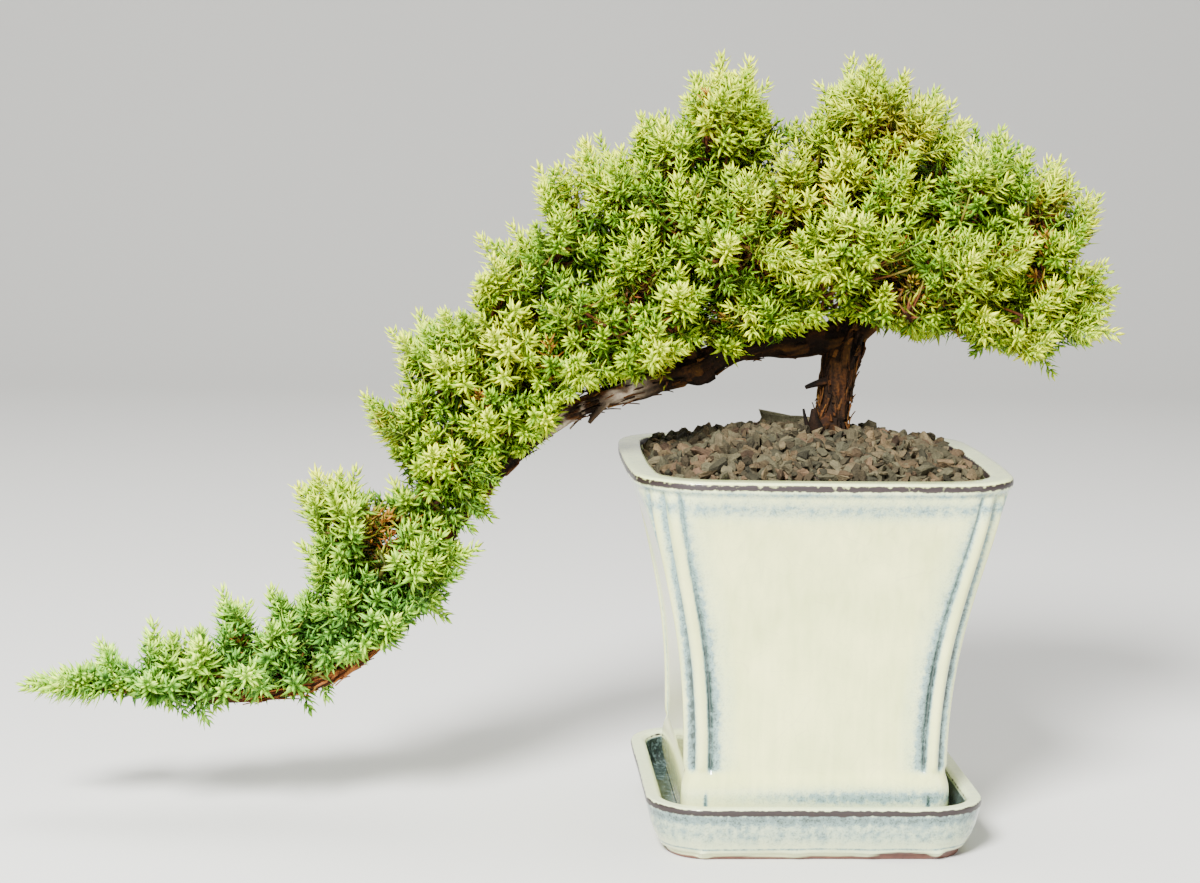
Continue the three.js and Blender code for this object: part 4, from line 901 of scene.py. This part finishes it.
def limb_rings(knots, sides, step, seed):
    """Rings of a limb: a smooth curve through its knots, with a cross-section of radius
    times one plus slow swells round and along it, plus bark. Bark is noise drawn out seven
    times along the grain, which winds slowly round the limb, and thin plates where another
    noise passes a limit."""
    knots = np.asarray(knots, float)
    rough_length = np.linalg.norm(np.diff(knots[:, :3], axis=0), axis=1).sum()
    count = max(int(rough_length / step), 6)
    line = through(knots, np.linspace(0, len(knots) - 1, count))
    centre, radius = line[:, :3], line[:, 3]
    along = unit(np.gradient(centre, axis=0))
    across = unit(BACK - along[:, 1:2] * along)
    third = np.cross(along, across)
    travelled = np.concatenate([[0], np.cumsum(np.linalg.norm(np.diff(centre, axis=0), axis=1))])
    angle = np.linspace(0, 2 * math.pi, sides, endpoint=False)[None, :]
    s = travelled[:, None]
    r = radius[:, None]
    wound = angle + s * 0.018
    grain = np.stack([np.cos(wound) * r, np.sin(wound) * r, s / 7 + 0 * angle], -1)
    plates = np.stack([np.cos(wound) * r, np.sin(wound) * r, s / 2.6 + 0 * angle], -1)
    swell = 0.09 * noise(grain * [1, 1, 1.2], 9.0, seed) + 0.07 * np.sin(2 * wound + s * 0.05 + seed)
    ridges = noise(grain, 1.5, seed + 1) * 0.6 + noise(grain, 0.7, seed + 2) * 0.4
    plate = smoothstep(0.0, 0.16, noise(plates, 3.4, seed + 3))
    depth = 1.25 * np.minimum(radius / 7, 1.0)[:, None]
    reach = r * (1 + swell) + depth * (0.75 * ridges + plate - 0.35)
    rings = (centre[:, None] + across[:, None] * (reach * np.cos(angle))[..., None]
             + third[:, None] * (reach * np.sin(angle))[..., None])
    patches = noise(plates, 7.0, seed + 4)
    ridge = np.clip(0.33 + 0.36 * ridges + 0.24 * plate + 0.16 * patches, 0, 1)
    return rings, ridge


def bark_flakes(knots, count, seed, size, broad, loose):
    """Strips of loose bark. Each runs along a limb as a ribbon of lozenge section that tapers
    to its far end, which lifts off with the square of the distance along it."""
    rng = np.random.default_rng(seed)
    knots = np.asarray(knots, float)
    start = 0.3 + rng.random(count) * (len(knots) - 1.6)
    lengths = rng.uniform(4, 12, count) * size
    angles = rng.uniform(0, 2 * math.pi, count)
    widths = rng.uniform(0.5, 1.6, count) * size * broad
    lifts = rng.uniform(0.3, 2.4, count) * size * loose
    ways = rng.choice([-1.0, 1.0], count)
    span = np.linalg.norm(np.diff(knots[:, :3], axis=0), axis=1).mean()
    room = np.where(ways > 0, len(knots) - 1.1 - start, start - 0.1) * span
    lengths = np.minimum(lengths, np.maximum(room, 2.0))
    u = np.linspace(0, 1, 9)
    parts = []
    for k in range(count):
        line = through(knots, np.clip(start[k] + ways[k] * u * lengths[k] / span, 0, len(knots) - 1.001))
        centre, radius = line[:, :3], line[:, 3]
        along = unit(np.gradient(centre, axis=0) + 1e-6)
        across = unit(BACK - along[:, 1:2] * along)
        third = np.cross(along, across)
        angle = angles[k] + 0.3 * u * rng.uniform(-1, 1)
        out = across * np.cos(angle)[:, None] + third * np.sin(angle)[:, None]
        side = np.cross(along, out)
        spine = centre + out * (radius + 0.1 + lifts[k] * u**2)[:, None]
        width = widths[k] * (1 - 0.75 * u**1.5)
        ring = np.stack([
            spine + side * width[:, None] / 2,
            spine + out * FLAKE_HALF,
            spine - side * width[:, None] / 2,
            spine - out * FLAKE_HALF,
        ], 1)
        if ways[k] < 0:
            ring = ring[:, ::-1]
        points, faces = skin(ring)
        parts.append((points, faces, {"ridge": np.full(len(points), rng.uniform(0.25, 0.75))}))
    return joined(parts)


def wood_pieces():
    """The grown wood as overlapping limbs in one mesh, and its loose bark in another. It is
    redder down the low branch, and bleached in two strips along that branch's front."""
    parts = []
    limbs = [(TRUNK, 80, 0.7), (LOW_BRANCH, 56, 0.8)]
    limbs += [(knots, 26, 1.0) for knots in SIDE_LIMBS] + [(knots, 26, 0.6) for knots in STUBS + KNOBS]
    for number, (knots, sides, step) in enumerate(limbs):
        rings, ridge = limb_rings(knots, sides, step, 17 + 5 * number)
        points, faces = skin(rings)
        if knots in KNOBS:
            ridge = 0.5 * ridge
        parts.append((points, faces, {"ridge": np.append(ridge.ravel(), [0.3, 0.3])}))
    points, faces, marks = joined(parts)
    x, y, z = points.T
    marks["rust"] = 0.06 + 0.68 * smoothstep(-60, -190, x) + 0.16 * bump(z, 180, 16) * (x > 0)
    streaks = smoothstep(-0.1, 0.4, noise(points * [0.4, 1, 1], 2.2, seed=31) + 0.2)
    strips = bump(x, BLEACHED[0], 8) + bump(x, BLEACHED[1], 6)
    marks["bleached"] = strips * smoothstep(-1.5, -3.0, y) * streaks
    mesh_piece("bark_wood", points, faces, juniper_bark, ["trunk_and_branches"], marks=marks)
    points, faces, marks = joined([bark_flakes(*row) for row in FLAKES])
    x = points[:, 0]
    marks["rust"] = 0.2 + 0.8 * smoothstep(-60, -190, x)
    marks["ridge"] = marks["ridge"] + 0.25 * smoothstep(-150, -190, x)
    strips = bump(x, BLEACHED[0], 12) + bump(x, BLEACHED[1], 9)
    marks["bleached"] = 0.8 * (noise(points, 5.0, seed=37) > 0.35) * (strips > 0.5)
    mesh_piece("loose_bark", points, faces, juniper_bark, marks=marks)


# ------------------------------------------------------------------ Foliage


def spray_list():
    """Every spray: its name, the middle and the half sizes of its ellipsoid."""
    sprays = []
    for tuft, (x, z, half_width, half_height, offset, half_depth) in TUFTS.items():
        size = np.array([half_width, half_depth, half_height], float)
        if offset == 0:
            sprays.append((tuft, np.array([x, 0.0, z]), size))
        else:
            sprays.append((tuft + "_front", np.array([x, -offset, z], float), size))
            sprays.append((tuft + "_back", np.array([x, offset, z], float), size))
    return sprays


def wood_line():
    """Points along all the wood, about 1.5 mm apart."""
    lines = []
    for knots in [TRUNK[2:], LOW_BRANCH, *SIDE_LIMBS]:
        knots = np.asarray(knots, float)[:, :3]
        length = np.linalg.norm(np.diff(knots, axis=0), axis=1).sum()
        lines.append(through(knots, np.linspace(0, len(knots) - 1, int(length / 1.5) + 2)))
    return np.concatenate(lines)


def leafage(points, centres, sizes):
    """How far points lie outside the foliage, which way is out, and whose spray is nearest.
    The gap to an ellipsoid is measured on the line from its middle, and the gaps are joined
    smoothly: minus the blend length times the logarithm of the sum of e to the minus gap
    over blend length, so the crevices between sprays are filled."""
    away = points[:, None] - centres[None]
    scaled = np.maximum(np.linalg.norm(away / sizes[None], axis=-1), 1e-6)
    gap = np.linalg.norm(away, axis=-1) * (1 - 1 / scaled)
    low = gap.min(1, keepdims=True)
    share = np.exp(-(gap - low) / SPRAY_BLEND)
    total = share.sum(1, keepdims=True)
    outward = unit((unit(away / sizes[None] ** 2) * (share / total)[..., None]).sum(1))
    return low[:, 0] - SPRAY_BLEND * np.log(total[:, 0]), outward, gap


def outline_gap(points):
    """How far points lie inside the outline as seen from the front, which way is inward on
    the plane y = 0, and the scale from a point's own depth to that plane. The gap is the
    distance to the nearest edge, negative where a line to the left crosses an even number
    of edges."""
    eye = np.array(SEEN_FROM)
    share = (eye[1] / (eye[1] - points[:, 1]))[:, None]
    seen = eye[[0, 2]] + (points[:, [0, 2]] - eye[[0, 2]]) * share
    corner = np.array(OUTLINE, float)
    edge = np.roll(corner, -1, 0) - corner
    from_corner = seen[:, None] - corner[None]
    t = np.clip((from_corner * edge).sum(-1) / (edge**2).sum(-1), 0, 1)
    away = from_corner - t[..., None] * edge
    length = np.linalg.norm(away, axis=-1)
    away = away[np.arange(len(points)), length.argmin(1)]
    above = (corner[:, 1] > seen[:, 1:2]) != (corner[:, 1] + edge[:, 1] > seen[:, 1:2])
    rise = np.where(np.abs(edge[:, 1]) < 1e-6, 1e-6, edge[:, 1])
    left = corner[:, 0] + edge[:, 0] * (seen[:, 1:2] - corner[:, 1]) / rise < seen[:, 0:1]
    inner = np.where((above & left).sum(1) % 2 == 1, 1.0, -1.0)
    return inner * length.min(1), unit(away) * inner[:, None], share


def inside_outline(points, margin):
    """Points moved sideways or up or down until they lie a margin inside the outline."""
    gap, inward, share = outline_gap(points)
    moved = points.copy()
    moved[:, [0, 2]] += inward * np.maximum(margin - gap, 0)[:, None] / share
    return moved


def core_balls():
    """Middles and half sizes of balls that fill the inside of the foliage, on a grid over the
    outline: as deep as they lie inside it, up to a limit."""
    x, z = np.meshgrid(np.arange(*CORE_X, CORE_STEP), np.arange(*CORE_Z, CORE_STEP), indexing="ij")
    middle = np.stack([x.ravel(), 0 * x.ravel(), z.ravel()], 1)
    gap = outline_gap(middle)[0]
    middle, gap = middle[gap > 9], gap[gap > 9]
    across = np.clip(gap, 10, 14.5)
    return middle, np.stack([across, np.clip(0.95 * gap, 9, 34), across], 1)


def shell_sites(centres, sizes, rng, level, spacing):
    """Points spread over the surface that lies at a level outside the joined foliage: a
    golden-angle spiral over every ellipsoid, moved out or in along the way out until it
    is at that level, moved inside the outline, and then thinned to the spacing."""
    golden = math.pi * (3 - math.sqrt(5))
    points = []
    for centre, size in zip(centres, sizes):
        count = int(SITE_TRIES * (size.prod() ** (2 / 3)) / spacing**2)
        n = np.arange(count) + 0.5
        height = 1 - 2 * n / count
        turn = golden * n + rng.uniform(0, 2 * math.pi)
        flat = np.sqrt(1 - height**2)
        points.append(centre + size * np.stack([flat * np.cos(turn), flat * np.sin(turn), height], 1))
    points = np.concatenate(points)
    distance, outward, _ = leafage(points, centres, sizes)
    near = np.abs(distance - level) < 10
    points, distance, outward = points[near], distance[near], outward[near]
    for _ in range(4):
        points = points - (distance - level)[:, None] * outward
        distance, outward, _ = leafage(points, centres, sizes)
    points = points[np.abs(distance - level) < 1.0]
    points = inside_outline(inside_outline(points, 4.5 - 0.4 * level), 4.0)
    points = points[rng.permutation(len(points))]
    return points[spaced(points, spacing)]


def spaced(points, spacing):
    """Which points stay when each in turn clears later ones from round itself."""
    stays = np.ones(len(points), bool)
    for k in range(len(points)):
        if stays[k]:
            near = ((points[k + 1:] - points[k]) ** 2).sum(1) < spacing**2
            stays[k + 1:] &= ~near
    return stays


def needle_mesh(base, direction, face, length, width):
    """Needles as thin three-cornered blades: a base, a wider ring at 45% of the length and a
    point, with the flat side towards face and a keel behind it, bent a little that way."""
    normal = unit(face - (face * direction).sum(-1, keepdims=True) * direction)
    side = np.cross(direction, normal)
    length, width = length[:, None], width[:, None]
    bend = 0.05 * length
    middle = base + direction * length * 0.45 - normal * bend
    tip = base + direction * length + normal * bend
    points = np.stack([
        base + side * width * 0.3, base - side * width * 0.3, base - normal * width * 0.3,
        middle + side * width * 0.5, middle - side * width * 0.5, middle - normal * width * 0.4,
        tip,
    ], 1)
    start = (np.arange(len(base)) * points.shape[1])[:, None]
    quads = [start + np.array([row]) for row in ([0, 3, 4, 1], [0, 2, 5, 3], [2, 1, 4, 5])]
    triangles = [start + np.array([row]) for row in ([3, 6, 4], [3, 5, 6], [5, 4, 6], [0, 1, 2])]
    return points.reshape(-1, 3), [np.concatenate(quads), np.concatenate(triangles)]


def in_one_row(values):
    """Values of every needle, shoots by whorls by needles, in one row for all the needles."""
    return values.reshape(-1, *values.shape[3:])


def shoot_needles(base, tip, rng, whorls, vigour, dry, gold, coarse, close):
    """Needles of a set of shoots, in whorls of three, each whorl turned by a sixth of a
    circle from the last. They lean 75 degrees off the stem at the foot of the shoot and
    close degrees less at its end, in between by the place to the power 1.7, and get shorter
    towards it. They are shorter and slimmer on the crown than on the low branch. coarse
    enlarges those deep inside the tree."""
    vigour, dry, gold, coarse = (v[:, None, None] for v in (vigour, dry, gold, coarse))
    count = len(base)
    axis = unit(tip - base)
    length = np.linalg.norm(tip - base, axis=-1)[:, None, None]
    helper = np.where(np.abs(axis[:, 2:3]) > 0.8, [[1.0, 0, 0]], [[0, 0, 1.0]])
    side = unit(np.cross(axis, helper))
    third = np.cross(axis, side)
    place = (0.03 + 0.95 * np.linspace(0, 1, whorls) ** 0.8)[None, :, None]
    spin = rng.uniform(0, 2 * math.pi, (count, 1, 1))
    turn = (spin + np.arange(whorls)[None, :, None] * math.pi / 3
            + np.arange(3)[None, None] * 2 * math.pi / 3)
    turn = turn + rng.normal(scale=0.2, size=turn.shape)
    lean = np.radians(75 - close * place**1.7) + rng.normal(scale=0.14, size=turn.shape)
    out = np.cos(turn)[..., None] * side[:, None, None] + np.sin(turn)[..., None] * third[:, None, None]
    along = np.broadcast_to(axis[:, None, None], out.shape)
    direction = out * np.sin(lean)[..., None] + along * np.cos(lean)[..., None]
    foot = base[:, None, None] + along * (place * length)[..., None] + out * 0.25
    size = NEEDLE_LENGTH * coarse * (1.06 - 0.5 * place**1.8) * rng.uniform(0.82, 1.14, turn.shape)
    crown = 1 - 0.13 * smoothstep(110, 190, tip[:, 2])[:, None, None]
    size = size * crown
    size = size * (0.9 + 0.2 * vigour)
    # Paler towards the shoot's end and with vigour, so darker in the deep layers and crevices: partly a
    # painted shade.
    freshness_and_shade = 0.3 + 0.3 * place**1.2 + 0.55 * (vigour - 0.5) + rng.normal(scale=0.08, size=turn.shape)
    width = coarse * crown * rng.uniform(1.25, 1.8, turn.shape)
    points, faces = needle_mesh(*(in_one_row(v) for v in (foot, direction, along, size, width)))
    # Each corner is darker or paler than its needle: a painted shade at the foot and along the keel.
    freshness_and_shade = in_one_row(freshness_and_shade)[:, None] + NEEDLE_PAINTED_SHADE
    dry = np.clip(dry + rng.normal(scale=0.12, size=turn.shape), 0, 1) * (dry > 0.05)
    gold = np.clip(gold * (1.25 - place) + rng.normal(scale=0.05, size=turn.shape), 0, 1)
    corners = len(NEEDLE_PAINTED_SHADE)
    marks = {"freshness_and_shade": freshness_and_shade.ravel(), "dry": np.repeat(in_one_row(dry), corners),
             "gold": np.repeat(in_one_row(gold), corners)}
    return points, faces, marks


def near_spots(points, spots):
    """1 at the middle of any of the spots, falling to 0 one and a half radii off."""
    value = np.zeros(len(points))
    for x, y, z, radius in spots:
        off = np.linalg.norm(points - [x, y, z], axis=-1) / radius
        value = np.maximum(value, smoothstep(1.5, 0.6, off))
    return value


def in_hollow(points):
    """Whether points lie in a hollow: inside its circle as seen from the front, and no more
    than 8 mm behind its middle."""
    inside = np.zeros(len(points), bool)
    for x, y, z, radius in HOLLOWS:
        circle = np.hypot(points[:, 0] - x, points[:, 2] - z) < radius
        inside |= circle & (points[:, 1] < y + 8)
    return inside


def leading_shoots(outer, centres, sizes, rng):
    """The leading shoots. The first stand where PEAKS puts them, and the others are points of
    the outside that lie LEADER_SPACING or more from each other. They grow outwards and up, but the
    ones under the low branch hang, and so do the ones beside its fall, outwards."""
    peaks = np.array([(x, y, z) for x, z, y in PEAKS], float)
    set_ones = slice(0, len(peaks))
    distance, slope, _ = leafage(peaks, centres, sizes)
    feet = peaks - np.maximum(distance, 0)[:, None] * slope
    stock = np.concatenate([feet, outer[rng.permutation(len(outer))]])
    chosen = spaced(stock, LEADER_SPACING)
    chosen[set_ones] = True
    foot = stock[chosen]
    count = len(foot)
    _, slope, _ = leafage(foot, centres, sizes)
    growth = unit(slope + UP * 0.75 + rng.normal(scale=0.16, size=(count, 3)))
    beside_fall = (peaks[:, 2] < 160) & (peaks[:, 1] < -7)
    hanging = np.zeros(count, bool)
    hanging[set_ones] = (peaks[:, 2] < 50) | beside_fall
    growth[hanging] = unit(np.array([0.4, -0.25, -1.0]))
    growth[set_ones][beside_fall] = unit(np.array([1.0, -0.3, -0.55]))
    lift = rng.uniform(4.0, 11.5, count)
    lift[set_ones] = np.clip(distance, 3, 14)
    tip = foot + growth * lift[:, None]
    tip[set_ones] = peaks - 2.5 * growth[set_ones]
    return Leaders(foot, growth, lift, tip, hanging)


def companion_shoots(leaders, rng):
    """Three shoots close round each leading shoot, a little lower: their tips lie back along
    the way it grows by a drop, and beside it by 2 mm plus about a third of the drop."""
    count = 3 * len(leaders.foot)
    chief = np.repeat(np.arange(len(leaders.foot)), 3)
    growth = leaders.growth[chief]
    beside = unit(np.cross(growth, rng.normal(size=(count, 3))))
    drop = rng.uniform(4.0, 10.0, count)[:, None]
    tips = leaders.tip[chief] - growth * drop + beside * (2.0 + 0.35 * drop)
    tips = np.where(leaders.hanging[chief][:, None], tips, inside_outline(tips, 3.0))
    length = SHOOT_LENGTH * rng.uniform(0.6, 0.8, count)
    return Shoots(tips, length, np.full(count, COMPANION_LAYER.vigour), unit(growth + 0.35 * beside), chief)


def shell_shoots(points, order, leaders, centres, sizes, rng):
    """Shoots over the points of a shell, which order counts from 0 on the outside. Each
    follows the leading shoot nearest it: its tip is raised by the leader's lift times one
    minus the square of its distance from the leader's foot in reaches, and it grows the same
    way, spread from the leader and stirred at random, the more the deeper it lies. Those in
    the crevices between two bundles are a little smaller and darker, the darkness a painted shade."""
    gap = np.linalg.norm(points[:, None] - leaders.foot[None], axis=-1)
    chief, near = gap.argmin(1), gap.min(1)
    keep = near > (5.5 if order == 0 else 3.0)
    points, chief, near = points[keep], chief[keep], near[keep]
    growth = leaders.growth[chief]
    _, slope, _ = leafage(points, centres, sizes)
    spread = (points - leaders.foot[chief]) / LEADER_REACH
    stir = rng.normal(scale=0.13 + 0.16 * order, size=points.shape)
    way = unit(growth + 0.5 * spread + 0.2 * slope + stir)
    rise = leaders.lift[chief] * (1 - (near / LEADER_REACH) ** 2)
    tips = inside_outline(points + growth * np.clip(rise, -5.5, 20)[:, None], 3.2 + 1.6 * order)
    length = SHOOT_LENGTH * rng.uniform(0.8, 1.15, len(points))
    # In the crevices round a bundle the shoots lose vigour: their needles are a little smaller, and darker as
    # a painted shade.
    return Shoots(tips, length, SHELLS[order].vigour - 0.25 * smoothstep(7.0, 13, near), way, chief)


def shoot_looks(order, layer, shoots, base, leaders, rng):
    """How young and bright, dry and golden each shoot of a layer is, and how coarse its needles are.
    Its brightness carries the painted shade of deep layers and crevices. Whole bundles are
    fresher or riper than others by slow noise over the leaders' feet."""
    number, chief = len(base), shoots.chief
    base_gap = outline_gap(base)[0]
    tone = (shoots.vigour + rng.normal(scale=0.22, size=number) + 0.14 * shoots.way[:, 2]
            + 0.3 * noise(leaders.foot, 26.0, seed=6)[chief])
    tone = np.clip(tone - 0.4 * leaders.hanging[chief], -0.15, 1)
    dry = near_spots(base * 0.4 + shoots.tips * 0.6, RUST) * layer.rust
    stray_dead = layer.dead * (0.25 + 0.75 * smoothstep(6, 16, base_gap))
    dry = np.maximum(dry, (rng.random(number) < stray_dead) * 0.9)
    dry = np.maximum(dry, 0.45 * near_spots(shoots.tips, BRONZE))
    ripe = 0.12 + 0.5 * noise(leaders.foot, 34.0, seed=9) + 0.9 * near_spots(leaders.foot, RIPE)
    gold = np.clip(ripe[chief] + rng.normal(scale=0.2, size=number), 0, 1)
    gold = gold * (0.65 if order <= OUTSIDE else 0.9) * smoothstep(90, 220, shoots.tips[:, 2])
    depth = smoothstep(9, 18, np.minimum(base_gap, outline_gap(shoots.tips)[0]))
    coarse = 1.0 + 0.18 * max(order - 1, 0) * depth
    return tone, dry, gold, coarse


def foliage_pieces():
    """One piece for each spray of needles, and one for all their twigs. Shoots stand in
    bundles round leading shoots, so each bundle is a pointed tuft with a crevice round it.
    Below the outside lie four more layers of shoots, duller the deeper they are: older
    needles, and a painted shade. The layers on the outside leave the hollows open."""
    rng = np.random.default_rng(FOLIAGE_SEED)
    sprays = spray_list()
    core, core_size = core_balls()
    centres = np.array([c for _, c, _ in sprays] + [row[:3] for row in SKIRT], float)
    sizes = np.array([s for _, _, s in sprays] + [[row[3]] * 3 for row in SKIRT], float)
    centres, sizes = np.concatenate([centres, core]), np.concatenate([sizes, core_size])
    wood = wood_line()
    outer = shell_sites(centres, sizes, rng, SHELLS[0].level, SHOOT_PITCH * SHELLS[0].spacing)
    leaders = leading_shoots(outer, centres, sizes, rng)
    count = len(leaders.foot)
    layers = [
        (LEADER_LAYER, Shoots(leaders.tip, np.full(count, SHOOT_LENGTH * 1.25),
                              np.full(count, LEADER_LAYER.vigour), leaders.growth, np.arange(count))),
        (COMPANION_LAYER, companion_shoots(leaders, rng)),
    ]
    sites = [outer] + [shell_sites(centres, sizes, rng, shell.level, SHOOT_PITCH * shell.spacing)
                       for shell in SHELLS[1:]]
    for order, (shell, points) in enumerate(zip(SHELLS, sites)):
        layers.append((shell, shell_shoots(points, order, leaders, centres, sizes, rng)))
    twigs = []
    shares = [[] for _ in sprays]
    for order, (layer, shoots) in enumerate(layers, LEADING):
        if order <= OUTSIDE:
            half_way = shoots.tips - 0.5 * shoots.way * shoots.length[:, None]
            stays = ~(in_hollow(shoots.tips) | in_hollow(half_way))
            shoots = Shoots(*(values[stays] for values in shoots))
        tips, chief, number = shoots.tips, shoots.chief, len(shoots.tips)
        base = tips - shoots.way * shoots.length[:, None]
        # A shoot that would start outside the foliage springs from the nearest wood instead.
        reach = np.linalg.norm(tips[:, None] - wood, axis=-1)
        root = wood[reach.argmin(1)]
        stray = (leafage(base, centres, sizes)[0] > -3) | (outline_gap(base)[0] < 2)
        from_wood = tips - unit(tips - root) * np.minimum(shoots.length, reach.min(1))[:, None]
        base = np.where(stray[:, None], from_wood, base)
        _, _, gap = leafage(base * 0.6 + tips * 0.4, centres[:len(sprays)], sizes[:len(sprays)])
        owners = gap.argmin(1)
        looks = shoot_looks(order, layer, shoots, base, leaders, rng)
        close = 41 if order == LEADING else 36
        for k, share in enumerate(shares):
            mine = owners == k
            if mine.any():
                mine_looks = (values[mine] for values in looks)
                share.append(shoot_needles(base[mine], tips[mine], rng, layer.whorls, *mine_looks, close))
        if order == LEADING:
            # A leading shoot's twig leaves the wood nearest it and goes through its spray.
            centre = centres[owners]
            reach = np.linalg.norm(wood - (0.5 * centre + 0.5 * base)[:, None], axis=-1)
            start = wood[reach.argmin(1)]
            bend = 0.4 * start + 0.6 * centre + rng.normal(scale=1.5, size=(number, 3))
            thick = np.full(number, 1.15)
        else:
            # The others leave the leader's stem, or the wood where that would show bare.
            back = SHOOT_LENGTH + rng.uniform(2, 14, number) + 6 * order
            start = leaders.tip[chief] - leaders.growth[chief] * back[:, None]
            bare = stray | (leafage(start, centres, sizes)[0] > -3) | (outline_gap(start)[0] < 3)
            start = np.where(bare[:, None], root, start)
            bend = start * 0.6 + base * 0.4
            thick = np.full(number, 0.7)
        twigs.append((start, bend, base, base + (tips - base) * 0.8, thick))
    for (name, centre, _), share in zip(sprays, shares):
        points, faces, marks = joined(share)
        marks["cool"] = np.clip(smoothstep(180, 60, points[:, 2]) + 0.3 * noise(points, 26.0, seed=77), 0, 1)
        mesh_piece("spray_" + name, points, faces, juniper_needles, ["needles_" + name], marks=marks)
    twig_piece(twigs)


def twig_piece(twigs):
    """Twigs from the wood to the leading shoots, and from these to the rest: a smooth curve
    through four points, four-sided, thinner and greener towards the shoot."""
    start, bend, base, finish, thick = (np.concatenate(values) for values in zip(*twigs))
    steps, sides = 6, 4
    u = np.linspace(0, 1, steps)[None, :, None]
    curve = ((1 - u) ** 3 * start[:, None] + 3 * (1 - u) ** 2 * u * bend[:, None]
             + 3 * (1 - u) * u**2 * base[:, None] + u**3 * finish[:, None])
    along = unit(np.gradient(curve, axis=1))
    helper = np.where(np.abs(along[:, :1, 2:3]) > 0.8, [[[1.0, 0, 0]]], [[[0, 0, 1.0]]])
    side = unit(np.cross(along, helper))
    third = np.cross(along, side)
    radius = thick[:, None, None] * (1 - 0.62 * u)
    rings = np.stack([curve + radius * (side * math.cos(a) + third * math.sin(a))
                      for a in np.arange(sides) * math.pi / 2], 2)
    ends = np.array([[3, 2, 1, 0], [(steps - 1) * sides + k for k in range(sides)]])
    faces = np.concatenate([grid_faces(steps, sides), ends])
    faces = (faces[None] + (np.arange(len(rings)) * steps * sides)[:, None, None]).reshape(-1, 4)
    young = np.broadcast_to(u[..., None], rings.shape[:3] + (1,))
    mesh_piece("juniper_twig_work", rings.reshape(-1, 3), [faces], juniper_twigs,
               marks={"young": young})


# ------------------------------------------------------------------ The dressed part


def finish_node(name, material):
    """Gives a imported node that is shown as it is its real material."""
    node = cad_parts[name]
    node.data.materials.clear()
    node.data.materials.append(material)


pot_piece()
saucer_piece()
gravel_piece()
grit_bed_piece()
finish_node("soil", potting_grit)
finish_node("drain_mesh", moulded_mesh)
wood_pieces()
foliage_pieces()

# ------------------------------------------------------------------ Floor, light and camera


def floor_piece():
    """A plain pale floor that turns up behind into a pale wall along a quarter circle."""
    angle = np.linspace(0, math.pi / 2, 24)
    radius, back, width = 1200.0, 1600.0, 9000.0
    y = np.concatenate([[-4000.0], back + radius * np.sin(angle), [back + radius]])
    z = np.concatenate([[0.0], radius * (1 - np.cos(angle)), [5000.0]])
    left = np.stack([np.full_like(y, -width), y, z], 1)
    points = np.concatenate([left, left * [-1, 1, 1]]) * MM
    rows = len(y)
    faces = [(k, k + rows, k + rows + 1, k + 1) for k in range(rows - 1)]
    mesh = bpy.data.meshes.new("studio_floor")
    mesh.from_pydata(points.tolist(), [], faces)
    mesh.polygons.foreach_set("use_smooth", [True] * len(faces))
    material, _, shader, _ = new_material("painted_floor", 0.9)
    shader.inputs["Base Color"].default_value = linear("#cbcac5")
    mesh.materials.append(material)
    floor = bpy.data.objects.new("studio_floor", mesh)
    bpy.context.scene.collection.objects.link(floor)


def soft_light(name, place, target, size, power):
    """A large soft lamp at a place in metres, turned to a target."""
    lamp = bpy.data.lights.new(name, "AREA")
    lamp.shape = "DISK"
    lamp.size = size
    lamp.energy = power
    light = bpy.data.objects.new(name, lamp)
    light.matrix_world = Matrix.Translation(place) @ (
        (Vector(place) - Vector(target)).to_track_quat("Z", "Y").to_matrix().to_4x4())
    bpy.context.scene.collection.objects.link(light)


def pale_room(colour, strength):
    """Even light from all round."""
    world = bpy.data.worlds.new("pale_room")
    world.use_nodes = True
    background = world.node_tree.nodes["Background"]
    background.inputs["Color"].default_value = linear(colour)
    background.inputs["Strength"].default_value = strength
    bpy.context.scene.world = world


def photo_camera():
    """The camera at the fitted viewpoint, turned by its heading, dip and roll."""
    heading, dip, roll = (math.radians(angle) for angle in (HEADING, DIP, ROLL))
    right = Vector((math.cos(heading), math.sin(heading), 0))
    level = Vector((-math.sin(heading), math.cos(heading), 0))
    up = Vector((0, 0, 1))
    look = level * math.cos(dip) - up * math.sin(dip)
    top = level * math.sin(dip) + up * math.cos(dip)
    across = right * math.cos(roll) - top * math.sin(roll)
    above = right * math.sin(roll) + top * math.cos(roll)
    data = bpy.data.cameras.new("photo_camera")
    data.sensor_fit = "HORIZONTAL"
    data.sensor_width = 36.0
    data.lens = LENS
    data.clip_end = 50.0
    camera = bpy.data.objects.new("photo_camera", data)
    turn = Matrix((across, above, -look)).transposed().to_4x4()
    camera.matrix_world = Matrix.Translation([v * MM for v in SEEN_FROM]) @ turn
    bpy.context.scene.collection.objects.link(camera)
    bpy.context.scene.camera = camera


floor_piece()
soft_light("key_light", (-0.7, -1.5, 1.4), (-0.05, 0, 0.16), 0.6, 208.0)
soft_light("fill_light", (1.5, -1.2, 0.7), (0, 0, 0.16), 1.4, 16.0)
soft_light("top_light", (0.1, 0.3, 1.7), (-0.05, 0, 0.16), 1.2, 30.0)
pale_room("#e6e8ea", 0.46)
photo_camera()
